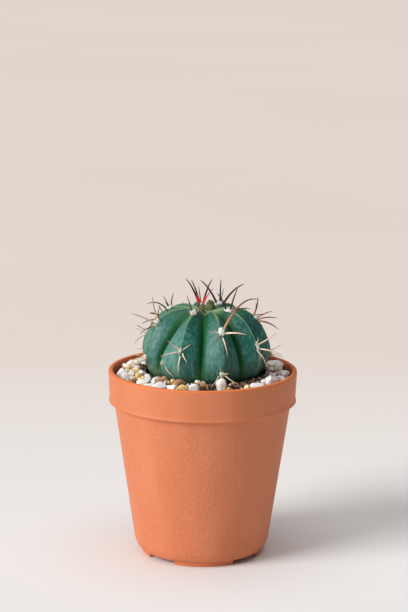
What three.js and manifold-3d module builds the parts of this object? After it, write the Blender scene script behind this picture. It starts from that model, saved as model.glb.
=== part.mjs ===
// A round ribbed cactus with curved needles, standing in pale gravel in a tapered clay-coloured pot.
// Millimetres, +Z up. The origin is on the surface that the pot stands on, on the pot's axis, and the
// side that faces -Y is the front. Compass turns are in degrees: 0 is the front, 90 is the right.
import * as THREE from 'three';
import { mergeVertices } from 'three/addons/utils/BufferGeometryUtils.js';
import Module from 'manifold-3d';

const wasm = await Module();
wasm.setup();

// Fit between pieces that touch
const GAP = 0.3;

// Pot
const POT_HEIGHT = 89.5;
const RIM_RADIUS = 45;
const LIP_THICKNESS = 2.3;
const BAND_HEIGHT = 15.2;
const BAND_FOOT_RADIUS = 44.4;
const BODY_TOP_RADIUS = 42.3;
const BODY_FOOT_RADIUS = 32.3;
const BODY_FOOT_HEIGHT = 6.8;
const WALL = 1.5;
const FLOOR_UNDERSIDE = 2;
const FLOOR_TOP = 3.8;
const PAD_RADIUS = 28.9;
const PAD_WIDTH = 3.4;
const PAD_COUNT = 4;
const PAD_TURN = 3;
const NOTCH_TURN = 32.5;
const DRAIN_RADIUS = 3;
const DRAIN_RING = 17;
const POT_SIDES = 48;
const LIP_ROUNDING = 0.9;
const STEP_DROP = 0.3;
const PAD_DRAFT = 0.2;
const FOOT_EDGE = 0.4;
const FOOT_CORNER = [[1.65, 1.2], [0.7, 2.9]];
const BAND_STEP = [[0.2, 0], [-0.35, 0.2], [-0.35, 0.8], [0, 1.7]];

// Plant: its axis stands a little to the right of the pot's. The two outlines are [radius, height over
// the rim], from the crown down to the root: along a rib's crest, and along the bottom of a groove.
const PLANT_X = 1.4;
const CREST = [[0, 27.8], [4.5, 28.8], [9, 30], [13.5, 30], [18, 28.9], [22, 26.4], [25.6, 22.3], [28.6, 17],
  [30.6, 11], [30.1, 5.2], [28, 0], [24.6, -4.2], [19, -8.2], [12, -11], [6.5, -14], [4.2, -19],
  [3.2, -26], [2, -31], [0, -32.5]];
const CREST_AT_RIM = 10;
const GROOVE = [[0, 27.8], [3.6, 27.8], [7.2, 28.1], [10.6, 27.5], [13.8, 26], [16.4, 23.4], [19.1, 19.4],
  [22.1, 14.6], [24.9, 9.6], [26.5, 4.4], [26, -0.4], [23.4, -4.4], [17.8, -8.3], [11.6, -11], [6.5, -14],
  [4.2, -19], [3.2, -26], [2, -31], [0, -32.5]];
const RIB_TURNS = [-72, -23.5, 16.5, 54, 93.7, 139, 196, 230, 262];
const GROOVE_TURNS = [-46.5, -4.5, 37.5, 73, 116, 167, 213, 246, 276];
// Degrees by which a rib or a groove leans round the plant toward the foot, and the places between
const RIB_LEANS = [4, 0, 0, 0, 0, 0, 0, 0, 0];
const GROOVE_LEANS = [-8, 0, 0, 0, 0, 0, 0, 0, 0];
const LEAN_PLACES = [4.5, 8.3];
const RIB_STEPS = [0, 0.3, 0.72, 0.9];
const CREST_ROUNDING = 0.04;
const FLANK_FULLNESS = { crown: -0.25, crownPlace: 2.5, foot: 0.36, footPlace: 8 };
const MERIDIAN_STEPS = [0.6, 1.3, 2, 2.7, 3.4, 4, 4.6, 5.2, 5.8, 6.4, 7, 7.6, 8.2, 8.8, 9.4, 10,
  10.7, 11.5, 13, 14, 15, 17];

// Areoles: the rib, the place along the crest outline, and the offsets of the needles' tips from there,
// in mm to the right, to the back and up, and for an arching needle how far its bend is lifted as well.
// An areole aside of its crest gives its share of the way to the groove, and a tuft that differs from the
// rule its width and length beside it. One with no tips gets a fan of needles by rule.
const AREOLES = [
  { rib: 0, at: 5.65, tuft: [0.85, 0.85],
    tips: [[-2, -2, 13.1], [1.6, -5, 9.1], [-12, -1, 4.6], [-8, -5, -4.6], [-3, -6, 1]] },
  { rib: 0, at: 8.55, tips: [[-7.8, -3, -0.5], [-4.3, -3, 2.6], [-6, 3, 1.5], [-4.5, -6, -2.5]] },
  { rib: 1, at: 3.3, tips: [[-3.3, -1, 8.5], [3, -2, 4]] },
  { rib: 1, at: 7.38, tuft: [0.7, 0.9],
    tips: [[-6, -5, 6.1], [5, -4, 4.1], [-9.4, -3, -2], [-1, -6, -10], [3.3, -7, -4]] },
  { rib: 1, at: 8.55, aside: -0.7, tuft: [0.6, 0.7], tips: [[5.6, -7.4, -4.9, 0.6]] },
  { rib: 2, at: 5.8, tuft: [1.05, 1.15],
    tips: [[17, -4, 16.2, 9.5], [-6, -4, 0.6], [12, -4, -0.4], [3, -7, -10], [-2, -4, -3]] },
  { rib: 2, at: 9.2, aside: -0.1, tips: [[-5.4, -5, -5.2], [3.4, -4, 1.5], [7.7, -5, -3.4], [-1, -4, 4.9]] },
  { rib: 3, at: 2.95, tuft: [1.5, 1.3], tips: [[4, -3, 11.2], [-5.9, -3, 8.9], [10.4, -6, 2], [1.9, -4, 4]] },
  { rib: 3, at: 7.35, tuft: [0.75, 1.5],
    tips: [[9, -3, 7.2], [0.3, -3.5, 5.2], [4.6, -5, -8.8], [11.5, -3, -3.3], [2, -5, -5]] },
  { rib: 4, at: 5.4, tips: [[1, 0, 10], [0, -3, 8], [8, 0, 3], [10.5, -2, 0], [11, -2, -5.5]] },
  { rib: 4, at: 8.6, tips: [[7, -1, -2], [6, 4, 4], [5, 6, -5]] },
  { rib: 5, at: 2.2, tips: [[-9.5, -4, 12.4], [0.5, -1, 12.4], [2, 0, 7.6], [11.6, -2, 10.2, 0.5]] },
  { rib: 5, at: 6.4 },
  { rib: 5, at: 9 },
  { rib: 6, at: 1.9, tips: [[-7.5, -1, 12.5], [-4.9, -3, 12.2], [-1.4, -2, 9], [5.2, 0, 12.1], [5.9, -2, 8]] },
  { rib: 6, at: 6.2 },
  { rib: 6, at: 8.7 },
  { rib: 7, at: 0.9 },
  { rib: 7, at: 6.1 },
  { rib: 7, at: 8.7 },
  { rib: 8, at: 3.9, tips: [[2, 1, 7], [-3, -1, 6], [-11, -3, 2, 2.5], [-2, -2, 3]] },
  { rib: 8, at: 6.95, tips: [[-5, 0, 3], [-6, -2, -6], [-6, 5, 0]] },
];
// Knobs of young growth beside the crown's middle: place to the right and to the back, top over the rim
const CROWN_KNOBS = [{ place: [3.4, 3], top: 32.7, radius: 2.5 },
  { place: [-0.6, -3.4], top: 31, radius: 1.6 }];
const CROWN_PLACE = 2;
const FLAT_PLACE = 2.3;
const WORN_PLACE = 6.5;
const WOOL_RADIUS = 1.7;
const YOUNG_WOOL = 0.6;
const WORN_WOOL = 0.78;
const WOOL_SHAPE = { across: 0.9, along: 1.3, out: 0.75 };
const WOOL_SIZES = [0.85, 1.15];
const NEEDLE_RADIUS = 0.45;
const NEEDLE_STATIONS = [0, 0.5, 0.8];
const NEEDLE_BEND = { along: 0.45, out: 0.14, outAside: 0.16 };
const NEEDLE_TAPER = 0.55;
const SHORT_NEEDLE = 9.5;
const SHORT_STATIONS = [0, 0.55];
const NEEDLE_SINK = 1.2;
const ROOT_SPREAD = { share: 0.13, most: 1.5 };
const FAN_TURNS = [-28, 38, 96, 152, 208, 268];
const YOUNG_FAN_TURNS = [-40, 80, 200];
const FAN_SCATTER = [-8, 8];
const FAN_LENGTHS = [0.8, 1.2];
const FAN_LEAN = 62;
const FAN_LENGTH = 13;
const UP_SHARE = 0.44;
const CENTRAL_TURNS = [140, 220];
const CENTRAL_LEAN = 38;
const CENTRAL_LENGTH = 12.5;
const YOUNG_LEAN = 34;
const YOUNG_LENGTH = 4.2;
const LOWEST_TIP = 1.6;

// Soil and gravel: heights are over the rim
const POCKET_GAP = 0.35;
const POCKET_DROP = 0.2;
const TAP_ROOT = { radius: 3, drop: 1 };
const BED_AT_WALL = -4.6;
const BED_AT_PLANT = -0.8;
const BED_DEPTH = 3;
const BED_HOLE_RADIUS = 28.3;
const BED_RINGS = [33, 36.5, 39.5];
const BED_SIDES = 36;
const HOLE_SIDES = 24;
const STONE_ROWS = [{ inset: 3.1, spacing: 5.6 }, { inset: 7, spacing: 5.7 }, { inset: 10.9, spacing: 5.9 }];
const STONE_RADIUS = 2.7;
const STONE_SIZES = [0.72, 1.22];
const STONE_SHAPE = { along: 1.2, across: 0.88, up: [0.7, 1] };
const STONE_LIFT = 0.25;
const STONE_SWAY = [-0.7, 0.7];
const STONE_TILT = [-0.25, 0.25];
const CHIP_SIZES = [0.88, 1.1];
const WALL_CLEARANCE = 0.7;
const STONE_SCATTER = 0.5;
const STONE_CLEARANCE = 0.4;
const STONE_CUT_PLACES = [7.5, 10.8];
const LARGE_STONE = 3;
const STONE_SINK = 1.3;
// Shares of a stone's radius that it keeps off the bed's hole, the stones set one by one and bare grit
const KEEP_OFF = { plant: 0.2, stones: 0.5, bare: 0.8 };
// Bare grit, at places to the right and to the back
const BARE_SPOTS = [{ place: [21, -27], radius: 4 }, { place: [14.5, -32], radius: 2.6 },
  { place: [4.2, -34.5], radius: 1.6 }, { place: [27.8, -14.5], radius: 3.4 },
  { place: [-5, -31.4], radius: 0.4 }, { place: [0.7, -38.8], radius: 0.4 }, { place: [30.6, -2.5], radius: 1 },
  { place: [37, 9.9], radius: 0.4 }, { place: [31.1, 8.5], radius: 0.4 }];
// Stones set one by one: place, top over the rim, and half sizes along and across
const KEY_STONES = [
  { place: [8.7, -35], top: 3.8, half: [2.4, 1.9] },
  { place: [-4.3, -37], top: 1.7, half: [2.9, 2.3] },
  { place: [-9.8, -37.2], top: 0.8, half: [2.8, 2.2] },
  { place: [-14.2, -35.8], top: 0.6, half: [2.5, 2.1] },
  { place: [-12, -32], top: 2.4, half: [3.2, 2.2] },
  { place: [-20.3, -32.6], top: 1, half: [3.6, 2.3] },
  { place: [-19, -27.4], top: 2.4, half: [2.4, 2] },
  { place: [-22.8, -27.2], top: 1.6, half: [1.2, 1.1] },
  { place: [-27.2, -25], top: 1.1, half: [3.5, 2.4] },
  { place: [-28.8, -11.2], top: 2.2, half: [1.6, 1.5] },
  { place: [-30.2, -15], top: 1.6, half: [1.5, 1.6] },
  { place: [-31.4, -5], top: 1.5, half: [1.9, 1.7] },
  { place: [-35.2, 4.8], top: 0.8, half: [1.7, 1.5] },
  { place: [-38.2, -4.5], top: 0.6, half: [2.7, 1.9] },
  { place: [-36.6, -13.6], top: 0.3, half: [2.7, 2] },
  { place: [-34, -9.8], top: 0.9, half: [2, 1.7] },
  { place: [-33, -20.8], top: -0.1, half: [2.3, 1.8] },
  { place: [-32.3, 12], top: 1.4, half: [2.7, 2.4] },
  { place: [0, -34.6], top: 1.5, half: [1.8, 1.5] },
  { place: [12.6, -36.6], top: 0.2, half: [1.7, 1.4] },
  { place: [21, -32.4], top: 0, half: [1.7, 1.4] },
  { place: [25.3, -28.7], top: 0.1, half: [3.2, 1.9] },
  { place: [31.6, -21.2], top: 2, half: [2.7, 2.4] },
  { place: [36.2, -8.8], top: 0.9, half: [2.4, 2] },
  { place: [37.2, -14.2], top: -0.2, half: [2, 1.6] },
  { place: [35.3, 4], top: 1.6, half: [3, 2.6] },
  { place: [38.7, -3.4], top: 0, half: [1.9, 1.6] },
  { place: [32.8, -12], top: 1.1, half: [2.2, 1.8] },
  { place: [34.4, -15.6], top: 0.5, half: [1.9, 1.5] },
  { place: [31.6, -6.6], top: 0.7, half: [1.7, 1.4] },
  { place: [32.2, 1.2], top: 1, half: [1.6, 1.4] },
];

const rimHeight = (height) => POT_HEIGHT + height;
const radians = THREE.MathUtils.degToRad;
const between = ([low, high], share) => low + (high - low) * share;

// Repeatable draw between 0 and 1 for a whole number and a channel
function draw(index, channel) {
  const value = Math.sin(index * 12.9898 + channel * 78.233) * 4375.5453;
  return value - Math.floor(value);
}

// Solid from a closed geometry whose faces point out
function toSolid(geometry) {
  const bare = geometry.clone();
  bare.deleteAttribute('normal');
  bare.deleteAttribute('uv');
  const merged = mergeVertices(bare, 1e-4);
  const positions = merged.getAttribute('position').array;
  const source = merged.getIndex().array;
  const kept = [];
  for (let i = 0; i < source.length; i += 3) {
    const [a, b, c] = [source[i], source[i + 1], source[i + 2]];
    if (a !== b && b !== c && c !== a) kept.push(a, b, c);
  }
  return new wasm.Manifold(new wasm.Mesh({
    numProp: 3, vertProperties: new Float32Array(positions), triVerts: new Uint32Array(kept),
  }));
}

function toGeometry(solid) {
  const mesh = solid.getMesh();
  const geometry = new THREE.BufferGeometry();
  geometry.setAttribute('position', new THREE.BufferAttribute(new Float32Array(mesh.vertProperties), 3));
  geometry.setIndex(new THREE.BufferAttribute(new Uint32Array(mesh.triVerts), 1));
  geometry.computeVertexNormals();
  return geometry;
}

// Turned solid from a profile of [radius, height] points that starts and ends on the axis, bottom first
function turned(profile, sides) {
  const points = profile.map(([radius, height]) => new THREE.Vector2(radius, height));
  const lathe = new THREE.LatheGeometry(points, sides);
  lathe.rotateX(Math.PI / 2);
  return toSolid(lathe);
}

// Joins solids two by two, so that no solid is rebuilt more often than it has to be
function joined(solids) {
  let list = solids;
  while (list.length > 1) {
    const next = [];
    for (let i = 0; i < list.length; i += 2) {
      next.push(i + 1 < list.length ? list[i].add(list[i + 1]) : list[i]);
    }
    list = next;
  }
  return list[0];
}

// Inner wall radius of the pot at a height below the band's step
function innerWall(height) {
  const share = (height - BODY_FOOT_HEIGHT) / (rimHeight(-BAND_HEIGHT) - BODY_FOOT_HEIGHT);
  return BODY_FOOT_RADIUS + (BODY_TOP_RADIUS - BODY_FOOT_RADIUS) * share - WALL;
}

const LEDGE_HEIGHT = rimHeight(-BAND_HEIGHT) - STEP_DROP;
const LIP_INNER_RADIUS = RIM_RADIUS - LIP_THICKNESS;
const BAND_INNER_RADIUS = LIP_INNER_RADIUS - 0.5;

function pot() {
  const bandFoot = rimHeight(-BAND_HEIGHT);
  const outside = [
    [0, FLOOR_UNDERSIDE], [PAD_RADIUS - PAD_WIDTH, FLOOR_UNDERSIDE], [PAD_RADIUS - PAD_WIDTH + PAD_DRAFT, 0],
    [PAD_RADIUS - PAD_DRAFT, 0], [PAD_RADIUS, FLOOR_UNDERSIDE - 0.1], [PAD_RADIUS + FOOT_EDGE, FLOOR_UNDERSIDE],
    ...FOOT_CORNER.map(([inward, up]) => [BODY_FOOT_RADIUS - inward, FLOOR_UNDERSIDE + up]),
    [BODY_FOOT_RADIUS, BODY_FOOT_HEIGHT], [BODY_TOP_RADIUS, bandFoot],
    ...BAND_STEP.map(([inward, up]) => [BAND_FOOT_RADIUS - inward, bandFoot + up]),
    [RIM_RADIUS, rimHeight(-1.4 * LIP_ROUNDING)],
    [RIM_RADIUS - LIP_ROUNDING / 3, rimHeight(-0.4 * LIP_ROUNDING)],
    [RIM_RADIUS - LIP_ROUNDING, rimHeight(0)], [LIP_INNER_RADIUS + 0.6 * LIP_ROUNDING, rimHeight(-0.1)],
    [LIP_INNER_RADIUS, rimHeight(-LIP_ROUNDING)],
  ];
  const inside = [
    [BAND_INNER_RADIUS, LEDGE_HEIGHT + 1], [innerWall(LEDGE_HEIGHT), LEDGE_HEIGHT],
    [innerWall(BODY_FOOT_HEIGHT + 1), BODY_FOOT_HEIGHT + 1], [BODY_FOOT_RADIUS - 2.4, FLOOR_TOP + 1],
    [BODY_FOOT_RADIUS - 4, FLOOR_TOP], [0, FLOOR_TOP],
  ];
  let solid = turned([...outside, ...inside], POT_SIDES);
  for (let i = 0; i < PAD_COUNT; i++) {
    const middle = PAD_TURN + (i + 0.5) * 360 / PAD_COUNT;
    solid = solid.subtract(notch(middle)).subtract(drainHole(middle - 180 / PAD_COUNT));
  }
  return toGeometry(solid);
}

// Wedge that cuts the foot ring between two pads
function notch(middle) {
  const [inner, outer] = [PAD_RADIUS - 2.5 * PAD_WIDTH, PAD_RADIUS + PAD_WIDTH];
  const corner = (side, radius) => {
    const turn = radians(middle + side * NOTCH_TURN / 2);
    return new THREE.Vector2(radius * Math.sin(turn), -radius * Math.cos(turn));
  };
  const wedge = new THREE.Shape([corner(-1, inner), corner(1, inner), corner(1, outer), corner(-1, outer)]);
  const block = new THREE.ExtrudeGeometry(wedge, { depth: FLOOR_UNDERSIDE + 0.95, bevelEnabled: false });
  block.translate(0, 0, -1);
  return toSolid(block);
}

function drainHole(turn) {
  const cutter = new THREE.CylinderGeometry(DRAIN_RADIUS, DRAIN_RADIUS, FLOOR_TOP + 2, 12);
  cutter.rotateX(Math.PI / 2);
  const [x, y] = [DRAIN_RING * Math.sin(radians(turn)), -DRAIN_RING * Math.cos(radians(turn))];
  cutter.translate(x, y, FLOOR_TOP / 2);
  return toSolid(cutter);
}

// Point of a smooth curve through the outline's points, at a place counted in points
function alongOutline(outline, place) {
  const last = outline.length - 1;
  const start = Math.min(Math.floor(place), last - 1);
  const f = place - start;
  const [b, c] = [outline[start], outline[start + 1]];
  const [a, d] = [outline[Math.max(start - 1, 0)], outline[Math.min(start + 2, last)]];
  return [0, 1].map((axis) => {
    const slopeIn = (c[axis] - a[axis]) / 2;
    const slopeOut = (d[axis] - b[axis]) / 2;
    return b[axis] * (2 * f ** 3 - 3 * f ** 2 + 1) + slopeIn * (f ** 3 - 2 * f ** 2 + f)
      + c[axis] * (3 * f ** 2 - 2 * f ** 3) + slopeOut * (f ** 3 - f ** 2);
  });
}

// How far a rib's flank has gone from its crest (0) to its groove (1): a thin rounded crest, then a flank
// that is a little hollow near the crown and full toward the foot, where it dips late into the groove
function flank(share, place) {
  const { crown, crownPlace, foot, footPlace } = FLANK_FULLNESS;
  const fullness = crown + (foot - crown) * THREE.MathUtils.smoothstep(place, crownPlace, footPlace);
  const rise = (u) => Math.sqrt(u * u + CREST_ROUNDING ** 2) - CREST_ROUNDING;
  return (1 - fullness) * rise(share) / rise(1) + fullness * share ** 5;
}

// Share of its lean that a rib or a groove has reached at a place
const leaned = (place) => THREE.MathUtils.smoothstep(place, ...LEAN_PLACES);
const ribTurn = (rib, place) => RIB_TURNS.at(rib) + RIB_LEANS.at(rib) * leaned(place);
const grooveTurn = (groove, place) => GROOVE_TURNS.at(groove) + GROOVE_LEANS.at(groove) * leaned(place);

// Columns of the skin by their rib, the groove they go to and their share of the way there, from groove to
// groove on each rib
function ribColumns() {
  const columns = [];
  RIB_TURNS.forEach((_, rib) => {
    for (const share of [1, ...RIB_STEPS.slice(1).reverse()]) columns.push({ rib, groove: rib - 1, share });
    for (const share of RIB_STEPS) columns.push({ rib, groove: rib, share });
  });
  return columns;
}

// Turn of a column at a place; the groove before the first rib is the last one, a full turn back
function columnTurn({ rib, groove, share }, place) {
  const crest = ribTurn(rib, place);
  const bottom = grooveTurn(groove, place) - (groove < 0 ? 360 : 0);
  return crest + (bottom - crest) * share;
}

function plantPoint(place, turn, share, margin = 0) {
  const dip = flank(share, place);
  const crest = alongOutline(CREST, place);
  const groove = alongOutline(GROOVE, place);
  const radius = crest[0] + (groove[0] - crest[0]) * dip + margin;
  const height = crest[1] + (groove[1] - crest[1]) * dip;
  return [PLANT_X + radius * Math.sin(radians(turn)), -radius * Math.cos(radians(turn)), rimHeight(height)];
}

// Ribbed body along some places of its outlines, closed by a fan to the middle at the two end places
function plantBody(steps, [first, last], margin = 0) {
  const columns = ribColumns();
  const count = columns.length;
  const middle = (place) => [PLANT_X, 0, plantPoint(place, 0, 0)[2]];
  const positions = [...middle(first)];
  for (const place of steps) {
    for (const column of columns) {
      positions.push(...plantPoint(place, columnTurn(column, place), column.share, margin));
    }
  }
  positions.push(...middle(last));
  const rows = steps.length;
  const root = 1 + rows * count;
  const index = [];
  for (let j = 0; j < count; j++) {
    const k = (j + 1) % count;
    index.push(0, 1 + j, 1 + k);
    for (let i = 0; i < rows - 1; i++) {
      const [a, b] = [1 + i * count + j, 1 + i * count + k];
      index.push(a, a + count, b, b, a + count, b + count);
    }
    index.push(1 + (rows - 1) * count + j, root, 1 + (rows - 1) * count + k);
  }
  const geometry = new THREE.BufferGeometry();
  geometry.setAttribute('position', new THREE.Float32BufferAttribute(positions, 3));
  geometry.setIndex(index);
  return toSolid(geometry);
}

// Place and directions of an areole: out of the crest, up along it toward the crown, and to the side
function areoleFrame({ rib, at, aside = 0 }) {
  const groove = aside < 0 ? rib - 1 : rib;
  const turn = columnTurn({ rib, groove, share: Math.abs(aside) }, at);
  const outward = new THREE.Vector3(Math.sin(radians(turn)), -Math.cos(radians(turn)), 0);
  const place = new THREE.Vector3(...plantPoint(at, turn, Math.abs(aside)));
  const [before, after] = [alongOutline(CREST, at - 0.02), alongOutline(CREST, at + 0.02)];
  const slope = at < FLAT_PLACE ? new THREE.Vector2(-1, 0)
    : new THREE.Vector2(before[0] - after[0], before[1] - after[1]).normalize();
  const up = outward.clone().multiplyScalar(slope.x).add(new THREE.Vector3(0, 0, slope.y));
  const normal = outward.clone().multiplyScalar(slope.y).add(new THREE.Vector3(0, 0, -slope.x));
  const side = new THREE.Vector3(Math.cos(radians(turn)), Math.sin(radians(turn)), 0);
  return { place, up, normal, side, aside };
}

// Tip offsets by rule: a fan that leans out all round, shortest toward the crown and longest toward the
// foot, and one long central needle that leans down
function fanTips(frame, seed, young) {
  const turns = young ? YOUNG_FAN_TURNS : FAN_TURNS;
  const tips = turns.map((turn, i) => {
    const reach = young ? YOUNG_LENGTH
      : FAN_LENGTH * (1 + UP_SHARE - (1 - UP_SHARE) * Math.cos(radians(turn))) / 2;
    const scattered = turn + between(FAN_SCATTER, draw(seed, i + 10));
    const length = reach * between(FAN_LENGTHS, draw(seed, i));
    return offset(frame, scattered, young ? YOUNG_LEAN : FAN_LEAN, length);
  });
  const central = between(CENTRAL_TURNS, draw(seed, 30));
  if (!young) tips.push(offset(frame, central, CENTRAL_LEAN, CENTRAL_LENGTH));
  for (const tip of tips) tip.z = Math.max(tip.z, rimHeight(LOWEST_TIP) - frame.place.z);
  return tips.map((tip) => ({ tip }));
}

// Offset of a length that leans away from the areole's outward direction toward a turn
function offset({ up, normal, side }, turn, lean, length) {
  return normal.clone().multiplyScalar(Math.cos(radians(lean)))
    .addScaledVector(up, Math.sin(radians(lean)) * Math.cos(radians(turn)))
    .addScaledVector(side, Math.sin(radians(lean)) * Math.sin(radians(turn)))
    .multiplyScalar(length);
}

// Three-sided needle that leaves the areole upright and bends over to its tip
function needle(frame, { tip, lift = 0 }) {
  const { place, normal, aside } = frame;
  const out = NEEDLE_BEND.out + NEEDLE_BEND.outAside * Math.abs(aside);
  const spread = Math.min(ROOT_SPREAD.share, ROOT_SPREAD.most / tip.length());
  const start = place.clone().addScaledVector(tip, spread)
    .addScaledVector(normal, -NEEDLE_SINK - spread * tip.dot(normal));
  const end = place.clone().add(tip);
  const bend = place.clone().addScaledVector(tip, NEEDLE_BEND.along)
    .addScaledVector(normal, out * tip.length());
  bend.z += lift;
  const curve = new THREE.QuadraticBezierCurve3(start, bend, end);
  const positions = [];
  const plane = new THREE.Vector3().crossVectors(normal, tip);
  const across = (plane.length() > 0.1 ? plane : frame.side.clone()).normalize();
  const stations = tip.length() < SHORT_NEEDLE ? SHORT_STATIONS : NEEDLE_STATIONS;
  for (const station of stations) {
    const middle = curve.getPoint(station);
    const other = new THREE.Vector3().crossVectors(curve.getTangent(station), across).normalize();
    const radius = NEEDLE_RADIUS * (1 - NEEDLE_TAPER * station);
    for (let k = 0; k < 3; k++) {
      const corner = middle.clone().addScaledVector(across, radius * Math.cos(k * 2 * Math.PI / 3))
        .addScaledVector(other, radius * Math.sin(k * 2 * Math.PI / 3));
      positions.push(corner.x, corner.y, corner.z);
    }
  }
  positions.push(end.x, end.y, end.z);
  const last = 3 * stations.length;
  const index = [0, 2, 1];
  for (let k = 0; k < 3; k++) {
    const next = (k + 1) % 3;
    for (let row = 0; row < last - 3; row += 3) {
      index.push(row + k, row + next, row + 3 + k, row + next, row + 3 + next, row + 3 + k);
    }
    index.push(last - 3 + k, last - 3 + next, last);
  }
  const geometry = new THREE.BufferGeometry();
  geometry.setAttribute('position', new THREE.Float32BufferAttribute(positions, 3));
  geometry.setIndex(index);
  return toSolid(geometry);
}

// Lump of wool: small round the crown's middle, full on the ribs' upper half, worn below
function woolTuft(frame, seed, { at, tuft: [across, along] = [1, 1] }) {
  const worn = at > WORN_PLACE ? WORN_WOOL : 1;
  const size = WOOL_RADIUS * (at < CROWN_PLACE ? YOUNG_WOOL : worn) * between(WOOL_SIZES, draw(seed, 40));
  const lump = new THREE.IcosahedronGeometry(1, 0);
  lump.scale(WOOL_SHAPE.across * across * size, WOOL_SHAPE.along * along * size, WOOL_SHAPE.out * size);
  lump.applyMatrix4(new THREE.Matrix4().makeBasis(frame.side, frame.up, frame.normal));
  lump.translate(...frame.place.clone().addScaledVector(frame.normal, 0.1).toArray());
  return toSolid(lump);
}

// Half buried ball that stands up from the sunken crown
function crownKnob({ place, top, radius }) {
  const knob = new THREE.IcosahedronGeometry(1, 1);
  knob.scale(radius, radius, top - CREST[0][1]);
  knob.translate(...place, rimHeight(CREST[0][1]));
  return toSolid(knob);
}

function cactus() {
  const pieces = [plantBody(MERIDIAN_STEPS, [0, CREST.length - 1]), ...CROWN_KNOBS.map(crownKnob)];
  AREOLES.forEach((areole, seed) => {
    const frame = areoleFrame(areole);
    const young = areole.at < CROWN_PLACE;
    const set = areole.tips?.map(([x, y, z, lift]) => ({ tip: new THREE.Vector3(x, y, z), lift }));
    pieces.push(woolTuft(frame, seed, areole));
    for (const shape of set ?? fanTips(frame, seed, young)) pieces.push(needle(frame, shape));
  });
  return toGeometry(joined(pieces));
}

// Height of the gravel bed over the rim, from its edge at the wall to its hole round the plant
function bedHeight(radius) {
  const wall = LIP_INNER_RADIUS - GAP;
  const share = THREE.MathUtils.clamp((wall - radius) / (wall - BED_HOLE_RADIUS), 0, 1);
  return BED_AT_WALL + (BED_AT_PLANT - BED_AT_WALL) * Math.sin(share * Math.PI / 2);
}

function soil() {
  const wall = (height) => innerWall(height) - GAP;
  const top = (radius) => rimHeight(bedHeight(radius) - BED_DEPTH - GAP);
  const shoulder = BAND_INNER_RADIUS - 1.4 * GAP;
  const profile = [
    [0, FLOOR_TOP + GAP], [BODY_FOOT_RADIUS - 4.4, FLOOR_TOP + GAP], [BODY_FOOT_RADIUS - 3, FLOOR_TOP + 1.2],
    [wall(BODY_FOOT_HEIGHT + 1.4), BODY_FOOT_HEIGHT + 1.4], [wall(LEDGE_HEIGHT - 1), LEDGE_HEIGHT - 0.4],
    [shoulder, LEDGE_HEIGHT + 1.6], [shoulder, top(shoulder)],
    ...BED_RINGS.map((radius) => [radius, top(radius)]).reverse(),
    [BED_HOLE_RADIUS, top(BED_HOLE_RADIUS)], [0, top(BED_HOLE_RADIUS)],
  ];
  const buried = CREST.slice(CREST_AT_RIM).reverse();
  const drop = (radius) => (radius < TAP_ROOT.radius ? TAP_ROOT.drop : POCKET_DROP);
  const pocket = buried.map(([radius, height]) => (
    [radius ? radius + POCKET_GAP : 0, rimHeight(height) - drop(radius)]));
  pocket.push([BED_HOLE_RADIUS, rimHeight(BED_DEPTH)], [0, rimHeight(BED_DEPTH)]);
  const hole = turned(pocket, HOLE_SIDES).translate([PLANT_X, 0, 0]);
  return toGeometry(turned(profile, BED_SIDES).subtract(hole));
}

// Chipped stone with its middle at a place, half sizes along, across and up, and a turn
function stone(place, half, turn, seed, detail) {
  const chip = new THREE.IcosahedronGeometry(1, detail);
  const positions = chip.getAttribute('position');
  for (let i = 0; i < positions.count; i++) {
    const point = new THREE.Vector3().fromBufferAttribute(positions, i);
    const key = Math.round(point.x * 7) + 11 * Math.round(point.y * 7) + 123 * Math.round(point.z * 7);
    point.multiplyScalar(between(CHIP_SIZES, draw(seed * 3 + key, 50)));
    positions.setXYZ(i, point.x, point.y, point.z);
  }
  chip.scale(...half);
  chip.rotateX(between(STONE_TILT, draw(seed, 51)));
  chip.rotateZ(turn);
  chip.translate(...place);
  return toSolid(chip);
}

// Stones of the rows: spread round the pot at an inset from the wall, kept off the wall and the plant
function rowStones() {
  const stones = [];
  STONE_ROWS.forEach(({ inset, spacing }, row) => {
    const ring = LIP_INNER_RADIUS - inset;
    const count = Math.round(2 * Math.PI * ring / spacing);
    for (let i = 0; i < count; i++) {
      const seed = 100 * (row + 1) + i;
      const turn = 2 * Math.PI * (i + 0.5 * row + STONE_SCATTER * (draw(seed, 60) - 0.5)) / count;
      const size = STONE_RADIUS * between(STONE_SIZES, draw(seed, 62));
      const up = between(STONE_SHAPE.up, draw(seed, 63));
      const half = [size * STONE_SHAPE.along, size * STONE_SHAPE.across, size * up];
      const wanted = ring + between(STONE_SWAY, draw(seed, 61));
      const reach = Math.min(wanted, LIP_INNER_RADIUS - WALL_CLEARANCE - half[0]);
      const [x, y] = [reach * Math.sin(turn), -reach * Math.cos(turn)];
      if (isClear(x, y, half[0])) {
        const height = rimHeight(bedHeight(reach)) + half[2] * STONE_LIFT;
        stones.push({ place: [x, y, height], half, turn: Math.PI * draw(seed, 64), seed, detail: 0 });
      }
    }
  });
  return stones;
}

function isClear(x, y, radius) {
  const offHole = Math.hypot(x - PLANT_X, y) - BED_HOLE_RADIUS;
  const off = (place, reach) => Math.hypot(x - place[0], y - place[1]) - reach;
  const offStones = Math.min(...KEY_STONES.map(({ place, half }) => off(place, half[0])));
  const offBare = Math.min(...BARE_SPOTS.map(({ place, radius: reach }) => off(place, reach)));
  return offHole > KEEP_OFF.plant * radius && offStones > KEEP_OFF.stones * radius
    && offBare > KEEP_OFF.bare * radius;
}

// Stones set one by one, each as high as it takes to reach from its top into the bed
function keyStones() {
  return KEY_STONES.map(({ place, top, half }, i) => {
    const up = (top - bedHeight(Math.hypot(...place)) + STONE_SINK) / 2;
    return {
      place: [...place, rimHeight(top) - up],
      half: [...half, up],
      turn: between(STONE_TILT, draw(i, 70)),
      seed: 900 + i,
      detail: half[0] > LARGE_STONE ? 1 : 0,
    };
  });
}

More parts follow.
